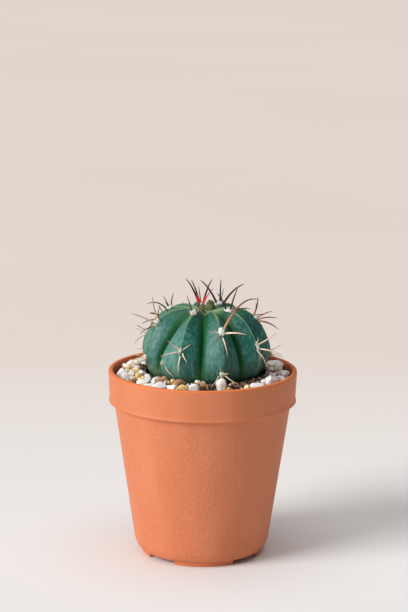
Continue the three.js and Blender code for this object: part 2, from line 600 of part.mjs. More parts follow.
function gravel() {
  const wall = LIP_INNER_RADIUS - 2 * GAP;
  const top = (radius) => rimHeight(bedHeight(radius));
  const rings = [0, BED_HOLE_RADIUS, ...BED_RINGS];
  const profile = [
    ...rings.map((radius) => [radius, top(radius) - BED_DEPTH]),
    [wall - GAP, top(wall) - BED_DEPTH], [wall, top(wall)],
    ...rings.map((radius) => [radius, top(radius)]).reverse(),
  ];
  const [low, high] = [rimHeight(-3 * BED_DEPTH), rimHeight(3 * BED_DEPTH)];
  const column = [[0, low], [BED_HOLE_RADIUS, low], [BED_HOLE_RADIUS, high], [0, high]];
  const hole = turned(column, BED_SIDES).translate([PLANT_X, 0, 0]);
  const bed = turned(profile, BED_SIDES).subtract(hole);
  const stones = [...rowStones(), ...keyStones()].map(({ place, half, turn, seed, detail }) => (
    stone(place, half, turn, seed, detail)));
  const [from, to] = STONE_CUT_PLACES;
  const steps = MERIDIAN_STEPS.filter((place) => place > from && place < to);
  const plant = plantBody(steps, [steps[0], steps.at(-1)], STONE_CLEARANCE);
  return toGeometry(joined([bed, ...stones]).subtract(plant));
}

function piece(name, geometry, colour, roughness) {
  const material = new THREE.MeshStandardMaterial({ color: colour, roughness, metalness: 0 });
  const mesh = new THREE.Mesh(geometry, material);
  mesh.name = name;
  return mesh;
}

const pottedCactus = new THREE.Group();
pottedCactus.add(
  piece('pot', pot(), '#d07a55', 0.6),
  piece('soil', soil(), '#3a2a20', 0.95),
  piece('gravel', gravel(), '#cfc6ba', 0.7),
  piece('cactus', cactus(), '#3d7563', 0.5),
);

export default pottedCactus;
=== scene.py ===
"""Potted round cactus: a nine-ribbed plant with woolly areoles and curved needles, in pale gravel and a
clay-coloured plastic pot. Lengths inside the shape functions are in millimetres, as on the real plant."""
import math

import bpy
import numpy as np
from bpy.props import FloatProperty, FloatVectorProperty, IntProperty, PointerProperty
from mathutils import Matrix, Vector


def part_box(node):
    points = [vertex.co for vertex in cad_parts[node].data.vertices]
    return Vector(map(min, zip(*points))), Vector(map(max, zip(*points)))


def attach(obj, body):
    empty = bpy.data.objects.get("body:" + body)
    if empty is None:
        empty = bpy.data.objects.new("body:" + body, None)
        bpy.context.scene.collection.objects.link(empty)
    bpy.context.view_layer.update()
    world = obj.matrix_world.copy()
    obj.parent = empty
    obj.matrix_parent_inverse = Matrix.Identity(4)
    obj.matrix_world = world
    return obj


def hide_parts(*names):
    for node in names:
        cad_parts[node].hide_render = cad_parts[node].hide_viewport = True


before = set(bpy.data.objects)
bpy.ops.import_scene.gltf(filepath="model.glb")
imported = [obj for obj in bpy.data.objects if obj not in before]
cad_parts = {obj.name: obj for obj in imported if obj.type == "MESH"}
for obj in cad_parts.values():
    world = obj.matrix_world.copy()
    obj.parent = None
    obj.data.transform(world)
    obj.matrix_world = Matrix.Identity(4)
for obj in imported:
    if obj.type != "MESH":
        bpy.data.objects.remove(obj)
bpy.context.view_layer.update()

bl_info = {
    "name": "Potted Round Cactus",
    "version": (1, 0, 0),
    "blender": (4, 5, 0),
    "location": "View3D > Sidebar > Cactus",
    "description": "Makes a ribbed cactus with needles in a gravel-dressed clay-coloured pot",
    "category": "Add Mesh",
}

MM = 0.001
POT_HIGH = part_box("pot")[1]
RIM = POT_HIGH[2] / MM

# Pot, in millimetres
RIM_RADIUS = POT_HIGH[0] / MM
LIP_THICKNESS = 2.3
BAND_HEIGHT = 15.2
BAND_FOOT_RADIUS = 44.4
BEAD = 0.35
BODY_TOP_RADIUS = 42.3
BODY_FOOT_RADIUS = 32.3
BODY_FOOT_HEIGHT = 6.8
WALL = 1.5
FLOOR_UNDERSIDE = 2.0
FLOOR_TOP = 3.8
PAD_RADIUS = 28.9
PAD_WIDTH = 3.4
PAD_COUNT = 4
PAD_TURN = 3.0
NOTCH_TURN = 32.5
NOTCH_START = 20
DRAIN_RADIUS = 3.0
DRAIN_RING = 17.0
LIP_INNER_RADIUS = RIM_RADIUS - LIP_THICKNESS
BAND_INNER_RADIUS = LIP_INNER_RADIUS - 0.5
BAND_FOOT = RIM - BAND_HEIGHT
LEDGE = BAND_FOOT - 0.3
# Edges where the pot's or the soil's faces meet at more than this many degrees stay sharp
POT_EDGE = 38
SOIL_EDGE = 40
SOIL_SIDES = 120

# Plant: outlines as (radius, height over the rim) from the crown to the root's tip
PLANT_X = 1.4
ROOT = [(6.5, -14), (4.2, -19), (3.2, -26), (2, -31), (0, -32.5)]
CREST = np.array([(0, 27.8), (4.5, 28.8), (9, 30), (13.5, 30), (18, 28.9), (22, 26.4), (25.6, 22.3),
                  (28.6, 17), (30.6, 11), (30.1, 5.2), (28, 0), (24.6, -4.2), (19, -8.2), (12, -11), *ROOT])
GROOVE = np.array([(0, 27.8), (3.6, 27.8), (7.2, 28.1), (10.6, 27.5), (13.8, 26), (16.4, 23.4), (19.1, 19.4),
                   (22.1, 14.6), (24.9, 9.6), (26.5, 4.4), (26, -0.4), (23.4, -4.4), (17.8, -8.3),
                   (11.6, -11), *ROOT])
CREST_AT_RIM = 10
# Places along the outlines where the skin starts, where it turns into the root, and where the root ends
FIRST_PLACE = 0.12
ROOT_PLACE = 11.5
LAST_PLACE = 17.9
ROOT_ROWS = 24
RIB_TURNS = np.array([-72, -23.5, 16.5, 54, 93.7, 139, 196, 230, 262])
GROOVE_TURNS = np.array([-46.5, -4.5, 37.5, 73, 116, 167, 213, 246, 276])
# Degrees by which a rib or a groove leans round the plant toward the foot, and the places between
RIB_LEANS = np.array([4, 0, 0, 0, 0, 0, 0, 0, 0])
GROOVE_LEANS = np.array([-8, 0, 0, 0, 0, 0, 0, 0, 0])
LEAN_PLACES = (4.5, 8.3)
# Looks of each rib: pale line along the crest, partly a painted highlight; grey wax on its left and right
# flank, set high on flanks that face the light, where it is partly painted sheen (pale green instead where
# below zero); cork at its foot
RIB_LOOKS = np.array([
    (0.9, -0.6, 0.4, 1.0), (0.45, 1.1, 0.03, 0.45), (0.06, 0.62, 0.1, 0.15), (0.9, 0.06, 0.6, 0.3),
    (0.4, 0.1, 0.2, 0.4), (0.5, 0.3, 0.4, 0.5), (0.6, 0.5, 0.4, 0.5), (0.6, 0.4, 0.5, 0.4),
    (0.8, 0.6, -0.4, 0.7),
])
CREST_ROUNDING = 0.04
CROWN_FULLNESS = -0.25
FOOT_FULLNESS = 0.36
FULLNESS_PLACES = (2.5, 8.0)
SWELL_HEIGHT = 0.4
SWELL_REACH = (0.42, 0.3)
# Knobs of young growth beside the crown's middle: right, back, top over the rim, radius
CROWN_KNOBS = [(3.4, 3, 32.7, 2.5), (-0.6, -3.4, 31, 1.6)]
KNOB_BUMPS = 0.13

# Areoles: rib, place along the crest outline, share of the way aside to a groove, and the needle tips'
# offsets (right, back, up, then the lift of an arching needle's bend and the shift of its colour with wear)
# where the needles are set one by one; the others get a fan by rule
AREOLES = [
    (0, 5.65, 0, [(-2, -2, 13.1, 0, 0.14), (1.6, -5, 9.1, 0, 0.02), (-12, -1, 4.6, 0, 0.14), (-8, -5, -4.6),
                  (-3, -6, 1)]),
    (0, 8.55, 0, [(-7.8, -3, -0.5), (-4.3, -3, 2.6), (-6, 3, 1.5), (-4.5, -6, -2.5)]),
    (1, 3.3, 0, [(-3.3, -1, 8.5), (3, -2, 4, 0, 0.12)]),
    (1, 7.38, 0, [(-6, -5, 6.1), (5, -4, 4.1), (-9.4, -3, -2), (-1, -6, -10), (3.3, -7, -4)]),
    (1, 8.55, -0.7, [(5.6, -7.4, -4.9, 0.6)]),
    (2, 5.8, 0, [(17, -4, 16.2, 9.5, -0.02), (-6, -4, 0.6, 0, 0.15), (12, -4, -0.4, 0, 0.24),
                 (3, -7, -10, 0, 0.22), (-2, -4, -3, 0, 0.1)]),
    (2, 9.2, -0.1, [(-5.4, -5, -5.2), (3.4, -4, 1.5), (7.7, -5, -3.4), (-1, -4, 4.9)]),
    (3, 2.95, 0, [(4, -3, 11.2), (-5.9, -3, 8.9), (10.4, -6, 2), (1.9, -4, 4)]),
    (3, 7.35, 0, [(9, -3, 7.2), (0.3, -3.5, 5.2), (4.6, -5, -8.8), (11.5, -3, -3.3), (2, -5, -5)]),
    (4, 5.4, 0, [(1, 0, 10), (0, -3, 8), (8, 0, 3), (10.5, -2, 0), (11, -2, -5.5)]),
    (4, 8.6, 0, [(7, -1, -2), (6, 4, 4), (5, 6, -5)]),
    (5, 2.2, 0, [(-9.5, -4, 12.4), (0.5, -1, 12.4), (2, 0, 7.6), (11.6, -2, 10.2, 0.5)]),
    (5, 6.4, 0, None),
    (5, 9, 0, None),
    (6, 1.9, 0, [(-7.5, -1, 12.5, 0, -0.3), (-4.9, -3, 12.2, 0, 0.1), (-1.4, -2, 9), (5.2, 0, 12.1, 0, -0.2),
                 (5.9, -2, 8, 0, 0.5)]),
    (6, 6.2, 0, None),
    (6, 8.7, 0, None),
    (7, 0.9, 0, None),
    (7, 6.1, 0, None),
    (7, 8.7, 0, None),
    (8, 3.9, 0, [(2, 1, 7), (-3, -1, 6), (-11, -3, 2, 2.5), (-2, -2, 3)]),
    (8, 6.95, 0, [(-5, 0, 3), (-6, -2, -6), (-6, 5, 0)]),
]
CROWN_PLACE = 2.0
WORN_PLACE = 6.5
OLDEST_PLACE = 9.3
WOOL_RADIUS = 1.7
WOOL_AXES = (0.9, 1.3, 0.75)
WOOL_LIFT = 0.1
YOUNG_WOOL = 0.6
WORN_WOOL = 0.78
HAIR_THICKNESS = 0.11
# Tufts whose width and length differ from the rule, by rib and place
OWN_TUFTS = {(0, 5.65): (0.85, 0.85), (1, 7.38): (0.7, 0.9), (1, 8.55): (0.6, 0.7), (2, 5.8): (1.05, 1.15),
             (3, 2.95): (1.5, 1.3), (3, 7.35): (0.75, 1.5)}
FAN_TURNS = [-28, 38, 96, 152, 208, 268]
YOUNG_FAN_TURNS = [-40, 80, 200]
FAN_LEAN = 62.0
FAN_LENGTH = 13.0
FAN_SCATTER = 16
UP_SHARE = 0.44
CENTRAL_LEAN = 38.0
CENTRAL_LENGTH = 12.5
YOUNG_LEAN = 34.0
YOUNG_LENGTH = 4.2
LOWEST_TIP = 1.6
SCARLET_AGE = 0.22
WORN_AGE = 0.9
WORN_THICKNESS = 0.72
# Colours along a needle from its root: at the crown's middle, round it, on the shoulder, and further down
NEEDLE_LOOKS = [
    [(0.0, (0.75, 0.2, 0.12)), (0.16, (0.85, 0.03, 0.012)), (0.32, (0.5, 0.01, 0.012)),
     (0.44, (0.05, 0.004, 0.008)), (1.0, (0.012, 0.004, 0.006))],
    [(0.0, (0.22, 0.09, 0.06)), (0.12, (0.05, 0.01, 0.01)), (0.6, (0.022, 0.005, 0.007)),
     (1.0, (0.035, 0.01, 0.012))],
    [(0.0, (0.66, 0.42, 0.2)), (0.2, (0.62, 0.3, 0.13)), (0.4, (0.26, 0.065, 0.045)),
     (0.62, (0.09, 0.018, 0.02)), (1.0, (0.05, 0.012, 0.015))],
    [(0.0, (0.9, 0.8, 0.6)), (0.3, (0.93, 0.8, 0.66)), (0.68, (0.85, 0.54, 0.46)), (1.0, (0.58, 0.21, 0.19))],
]
NEEDLE_SINK = 1.2
NEEDLE_BEND = 0.14
BEND_PLACE = 0.45
ASIDE_BEND = 0.16
ROOT_SPREAD = 0.13
MOST_SPREAD = 1.5
# A needle's thickness along its length, and the least and most share of it by the needle's length
STATION_POWER = 0.85
TAPER_POWER = 0.48
ROOT_SWELLING = 0.25
SWELLING_REACH = 0.06
TIP_THICKNESS = 0.05
TIP_HEIGHT = 0.08
THINNEST_THICKEST = (0.72, 1.12)

# Soil and gravel, heights over the rim
GAP = 0.3
POCKET_GAP = 0.35
BED_AT_WALL = -4.6
BED_AT_PLANT = -0.8
BED_DEPTH = 3.0
BED_HOLE_RADIUS = 28.3
PLANT_SPOT = (PLANT_X, 0, BED_HOLE_RADIUS)
# Rows of stones: distance in from the lip's inner wall, and spacing
STONE_ROWS = [(3.1, 5.6), (7.0, 5.7), (10.9, 5.9)]
STONE_RADIUS = 2.7
STONE_SCATTER = 0.5
STONE_STRETCH = (1.2, 0.88)
STONE_LIFT = 0.25
STONE_CLEARANCE = 0.4
CHIP_CLEARANCE = 0.15
STONE_SINK = 1.3
STONE_EDGE = 28
STONE_FACES = 13
# Spots that no stone of the rows covers: right, back, radius
BARE_SPOTS = [(21, -27, 4), (14.5, -32, 2.6), (4.2, -34.5, 1.6), (27.8, -14.5, 3.4), (-5, -31.4, 0.4),
              (0.7, -38.8, 0.4), (30.6, -2.5, 1), (37, 9.9, 0.4), (31.1, 8.5, 0.4)]
# Stones set one by one: right, back, top over the rim, half sizes along and across, colour group
KEY_STONES = [
    (8.7, -35, 3.8, 2.4, 1.9, "quartz"), (-4.3, -37, 1.7, 2.9, 2.3, "white"),
    (-9.8, -37.2, 0.8, 2.8, 2.2, "amber"), (-14.2, -35.8, 0.6, 2.5, 2.1, "white"),
    (-12, -32, 2.4, 3.2, 2.2, "brown"), (-20.3, -32.6, 1, 3.6, 2.3, "white"),
    (-19, -27.4, 2.4, 2.4, 2, "brown"), (-22.8, -27.2, 1.6, 1.2, 1.1, "white"),
    (-27.2, -25, 1.1, 3.5, 2.4, "white"), (-28.8, -11.2, 2.2, 1.6, 1.5, "white"),
    (-30.2, -15, 1.6, 1.5, 1.6, "amber"), (-31.4, -5, 1.5, 1.9, 1.7, "amber"),
    (-35.2, 4.8, 0.8, 1.7, 1.5, "amber"), (-38.2, -4.5, 0.6, 2.7, 1.9, "white"),
    (-36.6, -13.6, 0.3, 2.7, 2, "white"), (-34, -9.8, 0.9, 2, 1.7, "quartz"),
    (-33, -20.8, -0.1, 2.3, 1.8, "brown"), (-32.3, 12, 1.4, 2.7, 2.4, "quartz"),
    (0, -34.6, 1.5, 1.8, 1.5, "brown"), (12.6, -36.6, 0.2, 1.7, 1.4, "amber"),
    (21, -32.4, 0, 1.7, 1.4, "amber"), (25.3, -28.7, 0.1, 3.2, 1.9, "white"),
    (31.6, -21.2, 2, 2.7, 2.4, "white"), (36.2, -8.8, 0.9, 2.4, 2, "grey"),
    (37.2, -14.2, -0.2, 2, 1.6, "white"), (35.3, 4, 1.6, 3, 2.6, "quartz"),
    (38.7, -3.4, 0, 1.9, 1.6, "white"), (32.8, -12, 1.1, 2.2, 1.8, "grey"),
    (34.4, -15.6, 0.5, 1.9, 1.5, "grey"), (31.6, -6.6, 0.7, 1.7, 1.4, "grey"),
    (32.2, 1.2, 1, 1.6, 1.4, "amber"),
]
STONE_GROUPS = {"white": 0.5, "amber": 0.14, "brown": 0.13, "grey": 0.12, "quartz": 0.11}
# Seeds of the stones set one by one start here, and the first of them is a crystal
KEY_SEED = 900
CRYSTAL_SEED = KEY_SEED
CRYSTAL_SIDES = 6
CRYSTAL_TONE = 0.85

# Small chips between the stones: colour group, count, least and most size, and lift off the bed in sizes
SMALL_CHIPS = [("grit", 1800, (0.35, 0.95), 0.25), ("white", 130, (0.7, 1.6), 0.8),
               ("amber", 110, (0.6, 1.5), 0.8), ("brown", 130, (0.6, 1.5), 0.7)]
# Spots where only grit lies: right, back, radius
GRIT_SPOTS = [*BARE_SPOTS, (4.5, -32, 2.8), (25.5, -18.5, 3.4), (16, -30.5, 3), (-4, -32.2, 2.2),
              (5.2, -38, 2.4), (13, -34, 2.6), (28.5, -9, 4), (-27.5, -15.5, 1.6), (5.8, -35.8, 1.8),
              (-0.3, -37.2, 1.8), (-2.3, -31.2, 2.2)]
GOLDEN_ANGLE = 2.39996

# Colours of each group of stones, from its dark spots to its bright ones
STONE_LOOKS = {
    "white": [(0.0, (0.62, 0.6, 0.58)), (0.3, (0.8, 0.8, 0.81)), (0.65, (0.9, 0.91, 0.93)),
              (1.0, (0.95, 0.95, 0.94))],
    "amber": [(0.0, (0.6, 0.28, 0.08)), (0.4, (0.88, 0.53, 0.2)), (0.75, (0.93, 0.74, 0.42)),
              (1.0, (0.95, 0.88, 0.72))],
    "brown": [(0.0, (0.18, 0.075, 0.03)), (0.4, (0.46, 0.24, 0.11)), (0.7, (0.73, 0.48, 0.28)),
              (1.0, (0.92, 0.8, 0.66))],
    "grey": [(0.0, (0.4, 0.32, 0.34)), (0.4, (0.62, 0.54, 0.56)), (0.7, (0.78, 0.71, 0.74)),
             (1.0, (0.9, 0.87, 0.89))],
    "quartz": [(0.0, (0.62, 0.52, 0.42)), (0.4, (0.78, 0.71, 0.63)), (0.7, (0.87, 0.83, 0.79)),
               (1.0, (0.94, 0.93, 0.92))],
    "grit": [(0.0, (0.025, 0.015, 0.01)), (0.45, (0.09, 0.045, 0.028)), (0.75, (0.24, 0.13, 0.08)),
             (1.0, (0.55, 0.42, 0.33))],
}
CLEAR_GROUPS = ("white", "quartz", "amber")

# View: the camera looks at the middle of the rim from the front, a little from above
FRAME_WIDTH_PX = 408
FRAME_HEIGHT_PX = 612
FOCAL_PX = 2000.0
VIEW_DISTANCE = 955.0
VIEW_ELEVATION = 13.5
RIM_CENTRE_PX = (203.2, 368.5)
VIEW_ROLL = -0.45
LIGHT_COLOUR = (1.0, 0.97, 0.94)
TOP_LIGHT_RISE = 89
FLOOR_REACH = 20000.0


def draw(index, channel):
    """Repeatable number from 0 to 1: the fraction of 4375.5453 times the sine of a mix of both inputs."""
    value = np.sin(np.asarray(index, float) * 12.9898 + np.asarray(channel, float) * 78.233) * 4375.5453
    return value - np.floor(value)


def smooth_share(value, low, high):
    """Cubic smooth step from 0 at the low to 1 at the high value."""
    f = np.clip((np.asarray(value, float) - low) / (high - low), 0, 1)
    return f * f * (3 - 2 * f)


def along_outline(outline, place):
    """Cubic curve through the outline's points, with each point's slope half the step between its two
    neighbours, at places counted in points."""
    last = len(outline) - 1
    place = np.atleast_1d(np.asarray(place, float))
    start = np.minimum(np.floor(place).astype(int), last - 1)
    f = (place - start)[:, None]
    a, b = outline[np.maximum(start - 1, 0)], outline[start]
    c, d = outline[start + 1], outline[np.minimum(start + 2, last)]
    return (b * (2 * f ** 3 - 3 * f ** 2 + 1) + (c - a) / 2 * (f ** 3 - 2 * f ** 2 + f)
            + c * (3 * f ** 2 - 2 * f ** 3) + (d - b) / 2 * (f ** 3 - f ** 2))


def flank(share, place):
    """Depth from crest to groove: a thin rounded crest, then a flank that is a little hollow near the crown
    and full toward the foot, where the fifth power of the share makes it dip late into the groove."""
    fullness = CROWN_FULLNESS + (FOOT_FULLNESS - CROWN_FULLNESS) * smooth_share(place, *FULLNESS_PLACES)
    rise = np.sqrt(share ** 2 + CREST_ROUNDING ** 2) - CREST_ROUNDING
    full = math.sqrt(1 + CREST_ROUNDING ** 2) - CREST_ROUNDING
    return (1 - fullness) * rise / full + fullness * share ** 5


def bed_height(radius):
    """Quarter sine from the bed's edge at the wall up to its hole round the plant."""
    wall = LIP_INNER_RADIUS - GAP
    share = np.clip((wall - radius) / (wall - BED_HOLE_RADIUS), 0, 1)
    return BED_AT_WALL + (BED_AT_PLANT - BED_AT_WALL) * np.sin(share * np.pi / 2)


def inner_wall(height):
    """The body's straight taper at a height, less the wall's thickness."""
    share = (height - BODY_FOOT_HEIGHT) / (BAND_FOOT - BODY_FOOT_HEIGHT)
    return BODY_FOOT_RADIUS + (BODY_TOP_RADIUS - BODY_FOOT_RADIUS) * share - WALL


def rounded(corners, steps=5):
    """Outline whose corners (radius, height, rounding) become short parabolas that start and end at the
    rounding's distance along the two straight stretches that meet there."""
    points = []
    for i, (x, y, rounding) in enumerate(corners):
        here = np.array((x, y), float)
        if rounding <= 0 or i in (0, len(corners) - 1):
            points.append(here[None])
            continue
        ways = [unit(np.array(corners[j][:2], float) - here) for j in (i - 1, i + 1)]
        enter, leave = [here + way * rounding for way in ways]
        t = np.linspace(0, 1, steps)[:, None]
        points.append((1 - t) ** 2 * enter + 2 * t * (1 - t) * here + t ** 2 * leave)
    return np.concatenate(points)


def ring_turns(count):
    """Angles of a ring's points, evenly spread over one turn."""
    return np.arange(count) * 2 * np.pi / count


def round_axis(radius, turn, height):
    """Points at a radius, a turn counted from the front and a height, round the pot's axis."""
    return np.stack([radius * np.sin(turn), -radius * np.cos(turn), height + 0 * turn], -1)


def grid_quads(rows, columns):
    """Quads of a grid that closes on itself from its last column to its first."""
    i, j = np.meshgrid(np.arange(rows - 1), np.arange(columns), indexing="ij")
    k = (j + 1) % columns
    quads = np.stack([i * columns + j, (i + 1) * columns + j, (i + 1) * columns + k, i * columns + k], -1)
    return quads.reshape(-1, 4)


def fan_tris(pole, ring, columns, flip=False):
    """Triangles from one pole vertex to a ring of a grid."""
    j = np.arange(columns)
    tris = np.stack([np.full(columns, pole), ring + j, ring + (j + 1) % columns], -1)
    return tris[:, ::-1] if flip else tris


def capped_grid(rows, columns):
    """Quads of a closing grid and the triangles to its two poles, which come after the grid's points."""
    count = rows * columns
    tris = np.concatenate([fan_tris(count, 0, columns), fan_tris(count + 1, count - columns, columns, True)])
    return grid_quads(rows, columns), tris


def repeated(faces, count, points_each, first=0):
    """The same faces again for each of many like shapes whose points follow one another."""
    starts = first + points_each * np.arange(count)
    return (faces + starts[:, None, None]).reshape(-1, faces.shape[1])


def unit_ball(rows, columns):
    """Ball on a grid of polar and compass angles with its two poles last: points, quads and triangles."""
    polar = np.linspace(0, np.pi, rows + 2)[1:-1, None]
    turn = ring_turns(columns)
    level = np.sin(polar)
    rings = np.stack([level * np.cos(turn), level * np.sin(turn), np.cos(polar) + 0 * turn], -1)
    points = np.concatenate([rings.reshape(-1, 3), [[0, 0, 1], [0, 0, -1]]])
    return (points, *capped_grid(rows, columns))


def tube_rings(path, first, second, radius, sides):
    """Rings of points round many paths, spanned at each station by two directions across the path."""
    turn = ring_turns(sides)
    across = first[:, :, None] * np.cos(turn)[:, None] + second[:, :, None] * np.sin(turn)[:, None]
    return (path[:, :, None] + radius[:, :, None, None] * across).reshape(-1, 3)


def unit(vectors):
    """Vectors brought to length one."""
    return vectors / np.linalg.norm(vectors, axis=-1, keepdims=True)


def signed_volume(points, tris):
    """Sum of the boxes spanned by each triangle and the origin, which is positive where faces point out."""
    a, b, c = points[tris[:, 0]], points[tris[:, 1]], points[tris[:, 2]]
    return float(np.einsum("ij,ij->i", a, np.cross(b, c)).sum())


def new_object(name, points_mm, quads, tris=None, attributes=None, smooth=True):
    """Puts whole arrays into a mesh, in metres, with its faces turned outwards by the sign of its volume."""
    tris = np.zeros((0, 3), int) if tris is None else tris
    points = np.asarray(points_mm, float) * MM
    halves = np.concatenate([quads[:, [0, 1, 2]], quads[:, [0, 2, 3]], tris])
    if signed_volume(points, halves) < 0:
        quads, tris = quads[:, ::-1], tris[:, ::-1]
    mesh = bpy.data.meshes.new(name)
    mesh.vertices.add(len(points))
    mesh.vertices.foreach_set("co", points.ravel())
    corners = np.concatenate([quads.ravel(), tris.ravel()]).astype(np.int32)
    starts = np.concatenate([4 * np.arange(len(quads)), 4 * len(quads) + 3 * np.arange(len(tris))])
    mesh.loops.add(len(corners))
    mesh.loops.foreach_set("vertex_index", corners)
    mesh.polygons.add(len(starts))
    mesh.polygons.foreach_set("loop_start", starts.astype(np.int32))
    mesh.update(calc_edges=True)
    mesh.validate()
    mesh.polygons.foreach_set("use_smooth", np.full(len(mesh.polygons), smooth))
    for key, values in (attributes or {}).items():
        layer = mesh.attributes.new(key, "FLOAT", "POINT")
        layer.data.foreach_set("value", np.asarray(values, np.float32).ravel())
    piece = bpy.data.objects.new(name, mesh)
    bpy.context.scene.collection.objects.link(piece)
    return piece


def new_shapes(name, shapes, quads, tris, attributes=None, smooth=True):
    """One mesh of many like shapes, with attributes given for each shape or for each of its points."""
    shapes = np.asarray(shapes)
    count, per = shapes.shape[:2]
    quads, tris = [repeated(faces, count, per) for faces in (quads, tris)]
    spread = {key: np.broadcast_to(np.reshape(values, (count, -1)), (count, per))
              for key, values in (attributes or {}).items()}
    return new_object(name, shapes.reshape(-1, 3), quads, tris, spread, smooth)


def turned(name, outline, sides):
    """Outline of (radius, height) turned once round the vertical axis; both its ends lie on the axis."""
    ring = outline[1:-1]
    body = round_axis(ring[:, :1], ring_turns(sides), ring[:, 1:]).reshape(-1, 3)
    poles = np.array([[0, 0, outline[0, 1]], [0, 0, outline[-1, 1]]])
    return new_object(name, np.concatenate([body, poles]), *capped_grid(len(ring), sides))


def apply_cuts(piece, cutters):
    """Cuts closed meshes out of a piece and keeps the result as plain mesh."""
    for cutter in cutters:
        cut = piece.modifiers.new("cut", "BOOLEAN")
        cut.operation = "DIFFERENCE"
        cut.solver = "EXACT"
        cut.object = cutter
    graph = bpy.context.evaluated_depsgraph_get()
    result = bpy.data.meshes.new_from_object(piece.evaluated_get(graph))
    piece.modifiers.clear()
    piece.data = result
    for cutter in cutters:
        bpy.data.objects.remove(cutter, do_unlink=True)


def smooth_by_angle(piece, degrees):
    """Keeps edges sharp where two faces meet at more than the angle."""
    piece.data.shade_smooth()
    piece.data.set_sharp_from_angle(angle=math.radians(degrees))


def finish_pieces(pieces, node):
    """Gives each finished piece its material and body, and hides the CAD node that the pieces replace."""
    for piece, material in pieces:
        piece.data.materials.clear()
        piece.data.materials.append(material)
        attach(piece, "root")
        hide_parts(node)


class Nodes:
    """Small helper that lays out a material's nodes and joins them."""

    def __init__(self, name):
        self.material = bpy.data.materials.new(name)
        self.material.use_nodes = True
        self.tree = self.material.node_tree
        self.coordinates = self.add("ShaderNodeTexCoord").outputs["Object"]

    def add(self, kind, inputs=None, **settings):
        node = self.tree.nodes.new(kind)
        for key, value in settings.items():
            setattr(node, key, value)
        self.fill(node, inputs or {})
        return node

    def fill(self, node, inputs):
        """Joins or sets a node's inputs, given by name or number."""
        for key, value in inputs.items():
            if isinstance(value, bpy.types.NodeSocket):
                self.tree.links.new(value, node.inputs[key])
            else:
                node.inputs[key].default_value = value

    def surface(self, colour, roughness, others):
        """Fills the shader's inputs and returns the material."""
        inputs = {"Base Color": colour, "Roughness": roughness, **others}
        self.fill(self.tree.nodes["Principled BSDF"], inputs)
        return self.material

    def scaled(self, scale):
        return self.add("ShaderNodeMapping", {"Vector": self.coordinates, "Scale": scale}).outputs["Vector"]

    def split(self, kind, vector):
        return self.add("ShaderNodeSeparate" + kind, {0: vector}).outputs[:3]

    def noise(self, per_metre, detail, roughness, vector=None):
        inputs = {"Scale": per_metre, "Detail": detail, "Roughness": roughness}
        inputs["Vector"] = vector or self.coordinates
        return self.add("ShaderNodeTexNoise", inputs).outputs["Fac"]

    def cells(self, per_metre):
        return self.add("ShaderNodeTexVoronoi", {"Scale": per_metre, "Vector": self.coordinates}).outputs

    def attribute(self, name):
        return self.add("ShaderNodeAttribute", attribute_name=name).outputs["Fac"]

    def math(self, operation, a, b=0.0):
        return self.add("ShaderNodeMath", {0: a, 1: b}, operation=operation).outputs[0]

    def times(self, first, *others):
        for other in others:
            first = self.math("MULTIPLY", first, other)
        return first

    def step(self, value, low, high, to_low=0.0, to_high=1.0):
        inputs = {"Value": value, "From Min": low, "From Max": high, "To Min": to_low, "To Max": to_high}
        return self.add("ShaderNodeMapRange", inputs, interpolation_type="SMOOTHSTEP").outputs["Result"]

    def mix(self, share, a, b, blend="MIX"):
        a, b = [c if isinstance(c, bpy.types.NodeSocket) else (*c, 1) for c in (a, b)]
        inputs = {0: share, 6: a, 7: b}
        return self.add("ShaderNodeMix", inputs, data_type="RGBA", blend_type=blend).outputs[2]

    def layered(self, colour, *layers):
        """Lays other colours over the first one in turn, each by its share."""
        for share, over in layers:
            colour = self.mix(share, colour, over)
        return colour

    def ramp(self, value, stops):
        node = self.add("ShaderNodeValToRGB", {"Fac": value})
        elements = node.color_ramp.elements
        while len(elements) < len(stops):
            elements.new(1.0)
        for element, (place, colour) in zip(elements, stops):
            element.position = place
            element.color = (*colour, 1)
        return node.outputs["Color"]

    def bump(self, height, strength, distance_mm, under=None):
        inputs = {"Height": height, "Strength": strength, "Distance": distance_mm * MM}
        if under is not None:
            inputs["Normal"] = under
        return self.add("ShaderNodeBump", inputs).outputs["Normal"]


def pot_plastic(settings):
    """Clay-coloured plastic: a fine moulded grain on the body, a smoother band, faint pale streaks, a painted
    highlight along the lip and painted shade on the left of the inner wall over the gravel."""
    n = Nodes("Pot plastic")
    x, _, z = n.split("XYZ", n.coordinates)
    squashed = n.scaled((1, 1, 0.8))
    on_body = n.step(z, (BAND_FOOT + 1) * MM, (BAND_FOOT - 1) * MM)
    streaks = n.noise(60, 4, 0.6, n.scaled((1, 1, 0.25)))
    mottle = n.times(n.step(n.noise(700, 3, 0.6, squashed), 0.45, 0.7), on_body, 0.2)
    brighter = [min(1, 1.5 * part) for part in settings.colour]
    # Painted highlight: a brighter orange along the top of the rim, where the rounded lip catches the light
    lip = n.step(z, (RIM - 1.5) * MM, (RIM - 0.6) * MM, 0, 0.8)
    # Painted shade on the inner wall over the gravel: its own darker colour on the left side, fading to the
    # main colour toward the right
    off_axis = n.add("ShaderNodeVectorMath", {0: n.scaled((1, 1, 0))}, operation="LENGTH").outputs["Value"]
    inner_shade = n.times(n.step(off_axis, (LIP_INNER_RADIUS + 0.25) * MM, LIP_INNER_RADIUS * MM),
                     n.step(z, BAND_FOOT * MM, (BAND_FOOT + 2) * MM), 0.7)
    wall = n.mix(n.step(x, 0.01, 0.035), settings.colour_inner_shade, settings.colour)
    colour = n.layered(settings.colour, (n.step(streaks, 0.35, 0.7), settings.colour_pale),
                       (mottle, brighter), (lip, settings.colour_lip_highlight), (inner_shade, wall))
    roughness = n.step(streaks, 0.3, 0.75, settings.roughness - 0.05, settings.roughness + 0.07)
    grain = n.times(n.noise(850, 3, 0.55, squashed), n.step(on_body, 0, 1, 0.12, 1.0))
    normal = n.bump(n.noise(420, 3, 0.6), 0.12, 0.25, n.bump(grain, 0.9, 0.4))
    return n.surface(colour, roughness, {"Normal": normal, "Specular IOR Level": 0.2})


